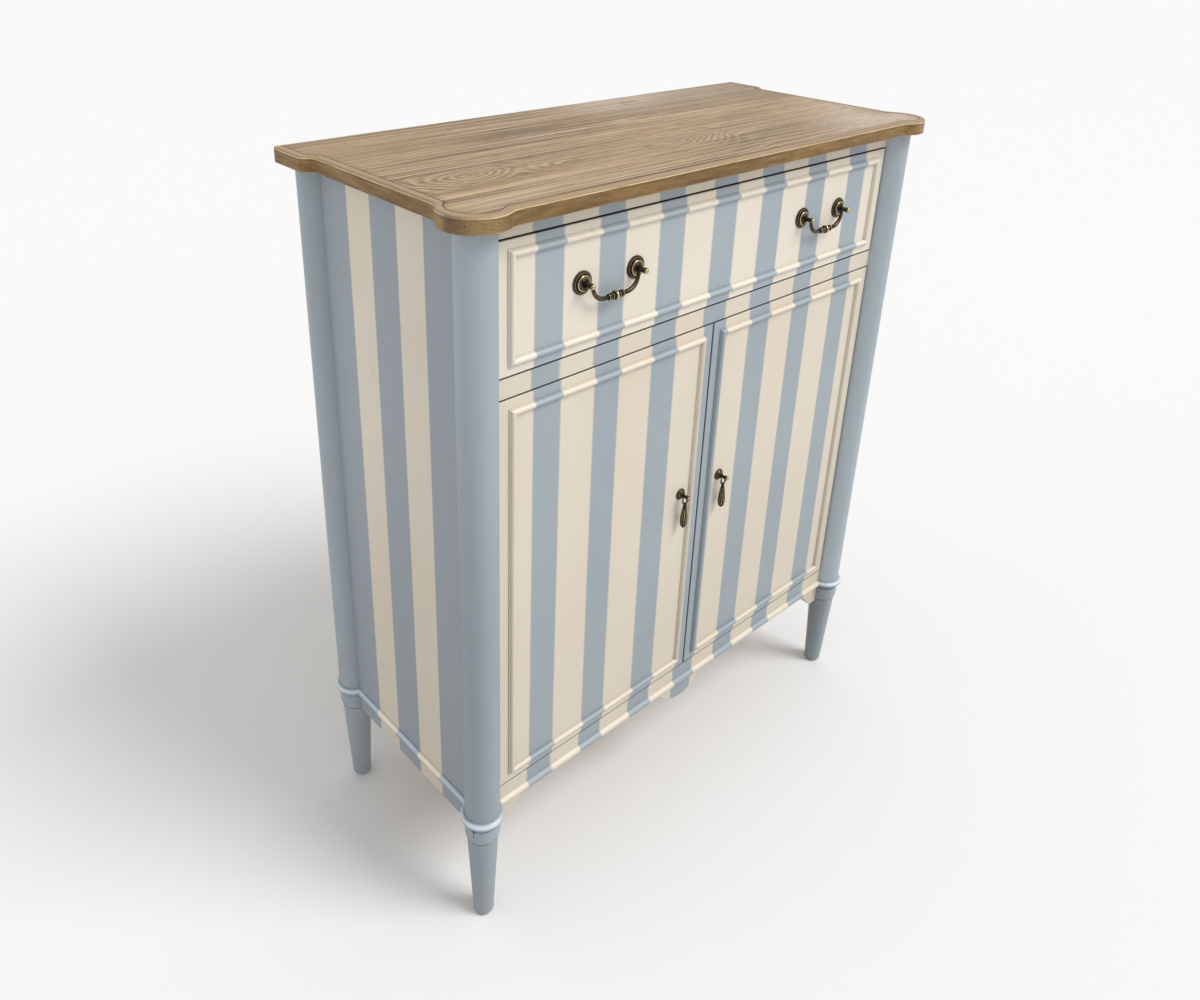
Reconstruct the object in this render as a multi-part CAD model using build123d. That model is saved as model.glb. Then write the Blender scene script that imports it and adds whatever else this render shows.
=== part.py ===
from build123d import *
import math
import os

# ---------------------------------------------------------------------------
# Painted hall cabinet on turned legs: one drawer over two doors, round corner
# posts, serpentine oak-veneered top.
# Working coordinates: X across the front (0 = centre line), Y from front to
# back with 0 at the face of the doors and the drawer front, Z up from the floor.
# Every piece is moved by -Y_CENTRE on export so that the row's origin is the
# middle of the footprint, on the floor.
# ---------------------------------------------------------------------------

# ---- driving dimensions (mm) ----------------------------------------------
HEIGHT = 900.0            # floor to top surface
TOP_T = 17.0              # top board and its edging
TOP_UNDER = HEIGHT - TOP_T
TOP_BACK = 309.0          # rear edge of the top
TOP_FRONT = -24.3         # straight part of the front edge
TOP_SIDE = 369.0          # straight part of the side edges
BULGE_R = 35.6            # bulge over a front corner post
BULGE_FILLET = 18.7       # hollow that leads into a front bulge
REAR_BULGE = 380.6        # bulge over a rear post
REAR_S0 = 240.0           # hollow of the rear bulge starts here
REAR_S1 = 258.0           # and ends here
EDGE_W = 8.0              # width of the solid edging
EDGE_ROUND = 2.5          # rounding of its upper arris

OPEN_HALF = 325.0         # half of the width between the front posts
POST_R = 21.0
POST_X = 345.7
POST_FY = 3.1             # axis of the front posts
POST_RY = 287.5           # axis of the rear posts

RAIL_Y0 = 0.8             # face of the front rails
RAIL_Y1 = 20.0
SIDE_OUT = 351.5          # outer face of a side panel
SIDE_IN = 336.5
SIDE_BOTTOM = 134.0

Z_BOTTOM_RAIL = 157.6
Z_FLOOR_PANEL = 188.1     # upper face of the cupboard floor and bottom rail
Z_DOOR0 = 190.1
Z_DOOR1 = 697.5
Z_MID0 = 699.5
Z_MID1 = 721.1
Z_DRAWER0 = 723.1
Z_DRAWER1 = 861.7
Z_TOPRAIL0 = 863.7
FRONT_T = 18.0            # thickness of doors and drawer front
FRONT_HALF = 323.0        # outer edge of doors and drawer front
DOOR_GAP = 1.25           # half of the gap between the doors

BEAD_Z = 163.0            # middle of the waist bead
BEAD_H = 5.4              # half of its height
BEAD_P = 4.8              # how far it stands proud
RING_R = POST_R + BEAD_P

MOULD_W = 9.0             # applied mouldings: width
MOULD_P = 4.8             # and how far they stand proud
DRAWER_MOULD = (12.3, 9.6)            # inset from the drawer front's sides, top and bottom
DOOR_MOULD = (13.8, 11.4, 10.8)       # inset from a door's hinge side, meeting side, top and bottom

BACK_Y0 = 297.0
BACK_Y1 = 301.0

PIV_IN = 8.5              # door pivot axis, in from the door's outer edge
PIV_Y = 4.5               # and behind its face
PIN_R = 2.0
BUSH_BORE = 2.05
BUSH_R = 3.2

PULL_LEFT = -178.0        # centre of each bail pull; the pair sits a little to the right
PULL_RIGHT = 190.0
PULL_Z = 798.5
PULL_HALF = 38.0          # half of the spacing of its posts (76 mm)
BAIL_Y = -10.6            # bail pivot axis
BAIL_PIN_R = 1.6
BAIL_HOLE_R = 1.66

KNOB_X = 36.5             # centre of each drop pull
KNOB_Z = 478.0
DROP_Y = -9.0             # pivot axis of the pendant
DROP_PIN_R = 0.8
DROP_HOLE_R = 0.86

FRONT_MOST = POST_FY - BULGE_R
BACK_MOST = max(TOP_BACK, POST_RY + RING_R)
Y_CENTRE = (BACK_MOST + FRONT_MOST) / 2

PARTS = {}


# ---- helpers ----------------------------------------------------------------
def box(x0, x1, y0, y1, z0, z1):
    return Pos((x0 + x1) / 2, (y0 + y1) / 2, (z0 + z1) / 2) * Box(abs(x1 - x0), abs(y1 - y0), abs(z1 - z0))


def cyl_z(x, y, z0, z1, r):
    return Pos(x, y, (z0 + z1) / 2) * Cylinder(r, z1 - z0)


def cyl_y(x, z, y0, y1, r):
    return Pos(x, (y0 + y1) / 2, z) * Rot(90, 0, 0) * Cylinder(r, abs(y1 - y0))


def cyl_x(y, z, x0, x1, r):
    return Pos((x0 + x1) / 2, y, z) * Rot(0, 90, 0) * Cylinder(r, abs(x1 - x0))


def pt(cx, cy, r, a):
    return (cx + r * math.cos(math.radians(a)), cy + r * math.sin(math.radians(a)))


def arc_c(cx, cy, r, a0, a1):
    return ThreePointArc(pt(cx, cy, r, a0), pt(cx, cy, r, (a0 + a1) / 2), pt(cx, cy, r, a1))


def ang(dx, dy):
    return math.degrees(math.atan2(dy, dx))


def polygon(points, plane=Plane.XY):
    lines = [Line(points[i], points[(i + 1) % len(points)]) for i in range(len(points))]
    return plane * make_face(Curve() + lines)


def revolve_z(profile, x, y):
    """profile: list of edges in the XZ plane (r, z); revolved about a vertical axis at x, y."""
    face = Plane.XZ * make_face(Curve() + profile)
    return Pos(x, y, 0) * revolve(face, Axis.Z, 360)


def group(*shapes):
    solids = []
    for s in shapes:
        solids += list(s.solids())
    return Compound(children=solids)


def one(shape):
    solids = shape.solids()
    assert len(solids) == 1, len(solids)
    return solids[0]


def add(name, shape):
    PARTS[name] = shape


def mirror_x(shape):
    return mirror(shape, Plane.YZ)


# ---- serpentine outline of the top ------------------------------------------
def top_face(o=0.0):
    """Outline of the top, set in by o on the front and the sides."""
    side = TOP_SIDE - o
    r = BULGE_R - o
    f = BULGE_FILLET + o
    px, py = -POST_X, POST_FY
    # hollow between the side edge and the bulge
    fx = -TOP_SIDE - BULGE_FILLET
    fy = py + math.sqrt((BULGE_R + BULGE_FILLET) ** 2 - (fx - px) ** 2)
    # hollow between the bulge and the front edge
    gy = TOP_FRONT - BULGE_FILLET
    gx = px + math.sqrt((BULGE_R + BULGE_FILLET) ** 2 - (gy - py) ** 2)
    a1 = ang(fx - px, fy - py)
    a2 = ang(gx - px, gy - py)
    # reversed curve of the rear bulge
    d = REAR_BULGE - TOP_SIDE
    length = REAR_S1 - REAR_S0
    rs = (d * d + length * length) / (4 * d)
    c1 = (-TOP_SIDE - rs, REAR_S0)
    c2 = (-REAR_BULGE + rs, REAR_S1)
    b = ang(c2[0] - c1[0], c2[1] - c1[1])
    left = [
        Line((-REAR_BULGE + o, TOP_BACK), (-REAR_BULGE + o, REAR_S1)),
        arc_c(c2[0], c2[1], rs - o, 180, 180 + b),
        arc_c(c1[0], c1[1], rs + o, b, 0),
        Line((-side, REAR_S0), (-side, fy)),
        arc_c(fx, fy, f, 0, a1 - 180),
        arc_c(px, py, r, a1, a2 + 360),
        arc_c(gx, gy, f, a2 + 180, 90),
    ]
    half = Curve() + left
    right = mirror(half, Plane.YZ)
    front = Line((gx, TOP_FRONT + o), (-gx, TOP_FRONT + o))
    back = Line((-REAR_BULGE + o, TOP_BACK), (REAR_BULGE - o, TOP_BACK))
    edges = list(half.edges()) + list(right.edges()) + [front.edges()[0], back.edges()[0]]
    wires = Wire.combine(edges, tol=1e-4)
    return make_face(wires[0])


outer = Pos(0, 0, TOP_UNDER) * extrude(top_face(0.0), TOP_T)
inner = Pos(0, 0, TOP_UNDER) * extrude(top_face(EDGE_W), TOP_T)


def rim_edges(solid):
    top = solid.faces().sort_by(Axis.Z)[-1]
    return [e for e in top.edges() if abs(e.center().Y - TOP_BACK) > 0.5]


outer = fillet(rim_edges(outer), EDGE_ROUND)
edging = outer - inner
board = chamfer(rim_edges(inner), 0.35)

front_zone = Pos(0, 0, TOP_UNDER - 5) * extrude(polygon([
    (-POST_X - 100, POST_FY - 100), (POST_X + 100, POST_FY - 100),
    (POST_X, POST_FY), (-POST_X, POST_FY)]), TOP_T + 10)
edge_front = edging & front_zone
edge_sides = edging - front_zone
left_zone = box(-500, 0, -100, 400, TOP_UNDER - 5, HEIGHT + 5)
edge_left = edge_sides & left_zone
edge_right = edge_sides - left_zone

# screw positions under the top
top_screws_xy = [(-220, 10.5), (0, 10.5), (220, 10.5), (-220, 289.0), (0, 289.0), (220, 289.0)]


def wood_screw(x, y, z_head, length, r=2.0, head_r=3.8, head_h=2.2, up=True):
    """Countersunk screw along Z; the head's flat face is at z_head."""
    s = 1 if up else -1
    pts = [(0, 0), (head_r, 0), (head_r, 0.3), (r, head_h), (r, length - 4.0), (0.35, length), (0, length)]
    prof = [Line(pts[i], pts[(i + 1) % len(pts)]) for i in range(len(pts))]
    face = Plane.XZ * make_face(Curve() + prof)
    solid = revolve(face, Axis.Z, 360)
    if s < 0:
        solid = mirror(solid, Plane.XY)
    return Pos(x, y, z_head) * solid


top_screws = [wood_screw(x, y, 866.0 if y < 100 else 864.0, 28.0) for x, y in top_screws_xy]
for s in top_screws:
    board = board - s
add("top_board", board)
add("top_edge_front", edge_front)
add("top_edge_left", edge_left)
add("top_edge_right", edge_right)

# ---- posts and turned legs ---------------------------------------------------
corners = {"front_left": (-POST_X, POST_FY), "front_right": (POST_X, POST_FY),
           "rear_left": (-POST_X, POST_RY), "rear_right": (POST_X, POST_RY)}
POST_Z0 = BEAD_Z + BEAD_H
BOLT_R = 4.0
BOLT_Z0, BOLT_Z1 = 108.0, 214.0


def leg_profile():
    z0 = 1.2
    return [
        Line((0, z0), (8.6, z0)),
        ThreePointArc((8.6, z0), (11.3, 2.5), (12.3, 6.0)),
        Line((12.3, 6.0), (18.8, 130.8)),
        Line((18.8, 130.8), (18.2, 131.4)),
        Line((18.2, 131.4), (19.0, 132.1)),
        ThreePointArc((19.0, 132.1), (20.2, 134.8), (POST_R, 137.6)),
        Line((POST_R, 137.6), (POST_R, BEAD_Z - BEAD_H)),
        ThreePointArc((POST_R, BEAD_Z - BEAD_H), (RING_R, BEAD_Z), (POST_R, BEAD_Z + BEAD_H)),
        Line((POST_R, BEAD_Z + BEAD_H), (0, BEAD_Z + BEAD_H)),
        Line((0, BEAD_Z + BEAD_H), (0, z0)),
    ]


bolts, glides = [], []
for name, (x, y) in corners.items():
    bolt = cyl_z(x, y, BOLT_Z0, BOLT_Z1, BOLT_R)
    glide = cyl_z(x, y, 0, 3.0, 7.0)
    glide = chamfer(glide.edges().group_by(Axis.Z)[0], 0.8)
    post = cyl_z(x, y, POST_Z0, TOP_UNDER, POST_R) - bolt
    leg = revolve_z(leg_profile(), x, y) - bolt - cyl_z(x, y, 1.0, 3.0, 7.0)
    add("post_" + name, post)
    add("leg_" + name, leg)
    bolts.append(bolt)
    glides.append(glide)
add("leg_bolts", group(*bolts))
add("foot_glides", group(*glides))


def clear_corners(shape, front=True, rear=True):
    """Cope a board round the posts, the leg collars and the ring on each leg."""
    for name, (x, y) in corners.items():
        if (y < 100 and not front) or (y > 100 and not rear):
            continue
        shape = shape - cyl_z(x, y, 60, TOP_UNDER + 1, POST_R)
        shape = shape - cyl_z(x, y, BEAD_Z - BEAD_H - 0.2, BEAD_Z + BEAD_H, RING_R + 0.1)
    return shape


# ---- carcass boards ----------------------------------------------------------
SHELF_Z = 445.0
pin_y = (62.0, 248.0)
pins = []
for sx in (-1, 1):
    for y in pin_y:
        pins.append(cyl_x(y, SHELF_Z - 2.5, sx * 328.5, sx * 344.5, 2.5))
add("shelf_pins", group(*pins))

side = clear_corners(box(-SIDE_OUT, -SIDE_IN, POST_FY, POST_RY, SIDE_BOTTOM, TOP_UNDER))
side_parts = side.solids().sort_by(SortBy.VOLUME)
side = side_parts[-1]
for y in pin_y:
    side = side - cyl_x(y, SHELF_Z - 2.5, -344.5, -330.0, 2.5)
add("side_panel_left", side)
add("side_panel_right", mirror_x(side))

back = clear_corners(box(-POST_X, POST_X, BACK_Y0, BACK_Y1, Z_FLOOR_PANEL - 15.0, TOP_UNDER), front=False)
add("back_panel", back.solids().sort_by(SortBy.VOLUME)[-1])

floor_panel = clear_corners(box(-SIDE_IN, SIDE_IN, RAIL_Y1, BACK_Y0, Z_FLOOR_PANEL - 15.0, Z_FLOOR_PANEL))
add("bottom_panel", floor_panel.solids().sort_by(SortBy.VOLUME)[-1])

shelf = box(-335.9, 335.9, 30.0, 292.0, SHELF_Z, SHELF_Z + 15.0)
for name, (x, y) in corners.items():
    shelf = shelf - cyl_z(x, y, 400, 500, POST_R + 0.6)
shelf = shelf.solids().sort_by(SortBy.VOLUME)[-1]
add("shelf", shelf)

# front rails
top_rail = clear_corners(box(-336.0, 336.0, RAIL_Y0, RAIL_Y1, Z_TOPRAIL0, TOP_UNDER), rear=False)
top_rail = top_rail.solids().sort_by(SortBy.VOLUME)[-1]
mid_rail = clear_corners(box(-SIDE_IN, SIDE_IN, RAIL_Y0, 45.0, Z_MID0, Z_MID1), rear=False)
mid_rail = mid_rail.solids().sort_by(SortBy.VOLUME)[-1]
bottom_rail = clear_corners(box(-336.0, 336.0, RAIL_Y0, RAIL_Y1, Z_BOTTOM_RAIL, Z_FLOOR_PANEL), rear=False)
bottom_rail = bottom_rail.solids().sort_by(SortBy.VOLUME)[-1]
rear_top = clear_corners(box(-SIDE_IN, SIDE_IN, 281.0, BACK_Y0, 862.0, TOP_UNDER), front=False)
rear_top = rear_top.solids().sort_by(SortBy.VOLUME)[-1]
rear_bottom = clear_corners(box(-SIDE_IN, SIDE_IN, 281.0, BACK_Y0, SIDE_BOTTOM, Z_FLOOR_PANEL - 15.0), front=False)
rear_bottom = rear_bottom.solids().sort_by(SortBy.VOLUME)[-1]
for (x, y), s in zip(top_screws_xy, top_screws):
    if y < 100:
        top_rail = top_rail - s - cyl_z(x, y, 860, 866.0, 3.8)
    else:
        rear_top = rear_top - s - cyl_z(x, y, 860, 864.0, 3.8)
add("top_screws", group(*top_screws))
add("top_rail", top_rail)
add("rear_top_rail", rear_top)
add("rear_bottom_rail", rear_bottom)

# ---- pivot hinges -------------------------------------------------------------
PIV_X = FRONT_HALF - PIV_IN
PLATE_T = 2.0
plates, plate_screws = [], []
for sx in (-1, 1):
    x_a, x_b = sorted((sx * FRONT_HALF, sx * 287.0))
    for z_face, up in ((Z_FLOOR_PANEL, True), (Z_MID0, False)):
        z_a, z_b = (z_face - PLATE_T, z_face) if up else (z_face, z_face + PLATE_T)
        plate = box(x_a, x_b, 1.6, 12.6, z_a, z_b)
        recess = plate
        pin_a, pin_b = (z_face, z_face + 8.0) if up else (z_face - 8.0, z_face)
        pin = cyl_z(sx * PIV_X, PIV_Y, pin_a, pin_b, PIN_R)
        pin = chamfer(pin.edges().group_by(Axis.Z)[-1 if up else 0], 0.4)
        for xs in (304.0, 292.5):
            screw = wood_screw(sx * xs, 7.2, z_face, 13.0, r=1.4, head_r=2.7, head_h=1.7, up=not up)
            plate = plate - screw
            plate_screws.append(screw)
            if up:
                bottom_rail = bottom_rail - screw
            else:
                mid_rail = mid_rail - screw
        if up:
            bottom_rail = bottom_rail - recess
        else:
            mid_rail = mid_rail - recess
        plates.append(plate + pin)
add("pivot_plates", group(*plates))
add("pivot_plate_screws", group(*plate_screws))
add("bottom_rail", bottom_rail)
add("mid_rail", mid_rail)

# ---- waist bead ---------------------------------------------------------------
bead_arc = [ThreePointArc((0, -BEAD_H), (BEAD_P, 0), (0, BEAD_H)), Line((0, BEAD_H), (0, -BEAD_H))]
bead_face = make_face(Curve() + bead_arc)      # x = proud, y = up
front_plane = Plane(origin=(-330.0, RAIL_Y0, BEAD_Z), x_dir=(0, -1, 0), z_dir=(1, 0, 0))
front_bead = extrude(front_plane * bead_face, 660.0, dir=(1, 0, 0))
side_plane = Plane(origin=(-SIDE_OUT, POST_FY, BEAD_Z), x_dir=(-1, 0, 0), z_dir=(0, 1, 0))
side_bead = extrude(side_plane * bead_face, POST_RY - POST_FY, dir=(0, 1, 0))
cope_r, cope_p = POST_R + 0.05, RING_R + 0.05
cope_profile = [
    Line((0, 100), (cope_r, 100)),
    Line((cope_r, 100), (cope_r, BEAD_Z - BEAD_H - 0.05)),
    ThreePointArc((cope_r, BEAD_Z - BEAD_H - 0.05), (cope_p, BEAD_Z), (cope_r, BEAD_Z + BEAD_H + 0.05)),
    Line((cope_r, BEAD_Z + BEAD_H + 0.05), (cope_r, 220)),
    Line((cope_r, 220), (0, 220)),
    Line((0, 220), (0, 100)),
]
for name, (x, y) in corners.items():
    ring = revolve_z(cope_profile, x, y)      # the beads are coped to the round of each ring
    front_bead = front_bead - ring
    side_bead = side_bead - ring
front_bead = front_bead.solids().sort_by(SortBy.VOLUME)[-1]
side_bead = side_bead.solids().sort_by(SortBy.VOLUME)[-1]
add("front_bead", front_bead)
add("side_bead_left", side_bead)
add("side_bead_right", mirror_x(side_bead))

# ---- apron pieces under the bottom rail -----------------------------------------
APRON_Y0, APRON_Y1 = 1.8, 17.0
bracket_curve = [
    Line((-336.0, Z_BOTTOM_RAIL), (-336.0, 128.2)),
    Line((-336.0, 128.2), (-312.5, 128.2)),
    Spline([(-312.5, 128.2), (-306.6, 130.6), (-302.6, 136.0), (-298.2, 142.0), (-292.8, 147.8), (-286.2, 152.8), (-277.0, Z_BOTTOM_RAIL)],
           tangents=[(1, 0), (1, 0.30)]),
    Line((-277.0, Z_BOTTOM_RAIL), (-336.0, Z_BOTTOM_RAIL)),
]
xz = Plane(origin=(0, APRON_Y0, 0), x_dir=(1, 0, 0), z_dir=(0, -1, 0))
bracket = extrude(xz * make_face(Curve() + bracket_curve), APRON_Y1 - APRON_Y0, dir=(0, 1, 0))
for name, (x, y) in corners.items():
    bracket = bracket - cyl_z(x, y, 60, 200, POST_R)
bracket = bracket.solids().sort_by(SortBy.VOLUME)[-1]
add("apron_brackets", group(bracket, mirror_x(bracket)))

DROP_HALF, DROP_BOTTOM = 43.0, 131.5
drop_curve = [ThreePointArc((-DROP_HALF, Z_BOTTOM_RAIL), (0, DROP_BOTTOM), (DROP_HALF, Z_BOTTOM_RAIL)),
              Line((DROP_HALF, Z_BOTTOM_RAIL), (-DROP_HALF, Z_BOTTOM_RAIL))]
add("apron_drop", extrude(xz * make_face(Curve() + drop_curve), APRON_Y1 - APRON_Y0, dir=(0, 1, 0)))

# ---- drawer bay fittings --------------------------------------------------------
RUN_TOP = Z_DRAWER0 - 0.4
runners = []
for sx in (-1, 1):
    a, b = sorted((sx * SIDE_IN, sx * 300.0))
    runners.append(box(a, b, 45.0, 264.0, 709.0, RUN_TOP))
    a, b = sorted((sx * SIDE_IN, sx * 321.9))
    runners.append(box(a, b, 45.0, 264.0, RUN_TOP, 746.0))
add("drawer_runners", group(*runners))
kickers = []
for sx in (-1, 1):
    a, b = sorted((sx * SIDE_IN, sx * 306.0))
    kickers.append(box(a, b, 26.0, 264.0, 850.0, 872.0))
add("drawer_kickers", group(*kickers))
add("drawer_stops", group(box(-232.0, -202.0, FRONT_T + 0.4, 30.0, Z_MID1, 730.5),
                          box(202.0, 232.0, FRONT_T + 0.4, 30.0, Z_MID1, 730.5)))
add("dust_panel", box(-300.0, 300.0, 45.0, BACK_Y0, 709.0, 713.0))

catches = []
for sx in (-1, 1):
    a, b = sorted((sx * 8.0, sx * 40.0))
    body = box(a, b, FRONT_T + 1.6, 41.0, 686.5, Z_MID0)
    body = chamfer(body.edges().filter_by(Axis.X), 1.0)
    catches.append(body)
add("door_catches", group(*catches))


# ---- applied moulding ------------------------------------------------------------
def moulding(x0, x1, z0, z1):
    """Four mitred lengths of a bead moulding, standing proud of the face at Y = 0."""
    w, p, s = MOULD_W, MOULD_P, 1.4
    q = 1.2
    prof = [Line((0, 0), (0, s)), Line((0, s), (q, s)),
            ThreePointArc((q, s), (w / 2, p), (w - q, s)),
            Line((w - q, s), (w, s)), Line((w, s), (w, 0)), Line((w, 0), (0, 0))]
    face = make_face(Curve() + prof)          # x = in from the outer edge, y = proud
    out = []
    cut = Plane(origin=(0, 1.0, 0), x_dir=(1, 0, 0), z_dir=(0, -1, 0))

    def prism(points):
        return extrude(polygon(points, cut), 10.0, dir=(0, -1, 0))

    lo = Plane(origin=(x0, 0, z0), x_dir=(0, 0, 1), z_dir=(-1, 0, 0))
    bar = extrude(lo * face, x1 - x0, dir=(1, 0, 0))
    bar = Pos(0, 0, 0) * bar
    if bar.bounding_box().max.Y > 0.01:
        bar = mirror(bar, Plane.XZ)
    out.append(bar & prism([(x0, z0), (x1, z0), (x1 - w, z0 + w), (x0 + w, z0 + w)]))
    top = mirror(bar, Plane(origin=(0, 0, (z0 + z1) / 2), z_dir=(0, 0, 1)))
    out.append(top & prism([(x0, z1), (x1, z1), (x1 - w, z1 - w), (x0 + w, z1 - w)]))
    up = Plane(origin=(x0, 0, z0), x_dir=(1, 0, 0), z_dir=(0, 0, 1))
    post = extrude(up * face, z1 - z0, dir=(0, 0, 1))
    if post.bounding_box().max.Y > 0.01:
        post = mirror(post, Plane.XZ)
    out.append(post & prism([(x0, z0), (x0, z1), (x0 + w, z1 - w), (x0 + w, z0 + w)]))
    other = mirror(post, Plane(origin=((x0 + x1) / 2, 0, 0), z_dir=(1, 0, 0)))
    out.append(other & prism([(x1, z0), (x1, z1), (x1 - w, z1 - w), (x1 - w, z0 + w)]))
    return group(*out)


def eased_front(x0, x1, z0, z1, r=0.9):
    slab = box(x0, x1, 0, FRONT_T, z0, z1)
    face = slab.faces().sort_by(Axis.Y)[0]
    return fillet(face.edges(), r)


# ---- drawer ------------------------------------------------------------------------
D_SIDE_OUT, D_SIDE_IN = 321.4, 309.4
D_BACK = 282.0
drawer_front = eased_front(-FRONT_HALF, FRONT_HALF, Z_DRAWER0, Z_DRAWER1)
groove = 4.0
drawer_front = drawer_front - box(-D_SIDE_IN - groove, D_SIDE_IN + groove, 12.0, FRONT_T + 1, 733.0, 738.0)
pull_posts, pull_screws = [], []


def lathe_y(points_edges, x, z):
    """Profile edges (r, proud) revolved about an axis along Y at x, z; proud is towards -Y."""
    face = Plane.XZ * make_face(Curve() + points_edges)      # r along X, proud along Z
    solid = revolve(face, Axis.Z, 360)
    return Pos(x, 0, z) * Rot(90, 0, 0) * solid


def rosette_profile():
    ball_y, ball_r, stem_r = 16.3, 3.4, 2.7
    y_join = ball_y - math.sqrt(ball_r ** 2 - stem_r ** 2)
    return [
        Line((0, 0), (12.8, 0)),
        Line((12.8, 0), (12.8, 1.3)),
        ThreePointArc((12.8, 1.3), (12.2, 2.1), (11.5, 1.7)),
        Line((11.5, 1.7), (11.2, 1.9)),
        ThreePointArc((11.2, 1.9), (10.35, 3.3), (9.3, 2.4)),
        Line((9.3, 2.4), (8.9, 2.4)),
        ThreePointArc((8.9, 2.4), (8.0, 4.2), (6.9, 3.9)),
        Line((6.9, 3.9), (6.5, 3.9)),
        ThreePointArc((6.5, 3.9), (5.4, 5.3), (4.3, 5.4)),
        Line((4.3, 5.4), (4.1, 6.3)),
        Line((4.1, 6.3), (stem_r, 6.8)),
        Line((stem_r, 6.8), (stem_r, y_join)),
        ThreePointArc((stem_r, y_join), (ball_r, ball_y), (0, ball_y + ball_r)),
        Line((0, ball_y + ball_r), (0, 0)),
    ]


def pull_screw(x, z, depth=5.0):
    shank = cyl_y(x, z, -depth, FRONT_T, 2.0)
    head = cyl_y(x, z, FRONT_T, FRONT_T + 2.4, 4.0)
    head = fillet(head.edges().group_by(Axis.Y)[-1], 1.2)
    slot = box(x - 3.4, x + 3.4, FRONT_T + 1.4, FRONT_T + 3.0, z - 0.5, z + 0.5)
    return shank + head - slot


for cx in (PULL_LEFT, PULL_RIGHT):
    for dx in (-PULL_HALF, PULL_HALF):
        x = cx + dx
        screw = pull_screw(x, PULL_Z)
        rosette = lathe_y(rosette_profile(), x, PULL_Z)
        rosette = rosette - cyl_x(BAIL_Y, PULL_Z, x - 6, x + 6, BAIL_HOLE_R)
        rosette = rosette - cyl_y(x, PULL_Z, -5.0, 1.0, 2.0)
        drawer_front = drawer_front - cyl_y(x, PULL_Z, -1.0, FRONT_T + 1, 2.0)
        pull_posts.append(rosette)
        pull_screws.append(screw)

d_side = box(-D_SIDE_OUT, -D_SIDE_IN, FRONT_T, D_BACK, Z_DRAWER0, 848.3)
d_side = d_side - box(-D_SIDE_IN - groove, -D_SIDE_IN + 1, FRONT_T - 1, D_BACK + 1, 733.0, 738.0)
add("drawer_front", drawer_front)
add("drawer_moulding", moulding(-FRONT_HALF + DRAWER_MOULD[0], FRONT_HALF - DRAWER_MOULD[0],
                                 Z_DRAWER0 + DRAWER_MOULD[1], Z_DRAWER1 - DRAWER_MOULD[1]))
add("drawer_side_left", d_side)
add("drawer_side_right", mirror_x(d_side))
add("drawer_back", box(-D_SIDE_IN, D_SIDE_IN, D_BACK - 12.0, D_BACK, 738.0, 840.0))
add("drawer_bottom", box(-D_SIDE_IN - groove, D_SIDE_IN + groove, 12.0, D_BACK, 733.0, 738.0))
add("pull_posts", group(*pull_posts))
add("pull_screws", group(*pull_screws))


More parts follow.
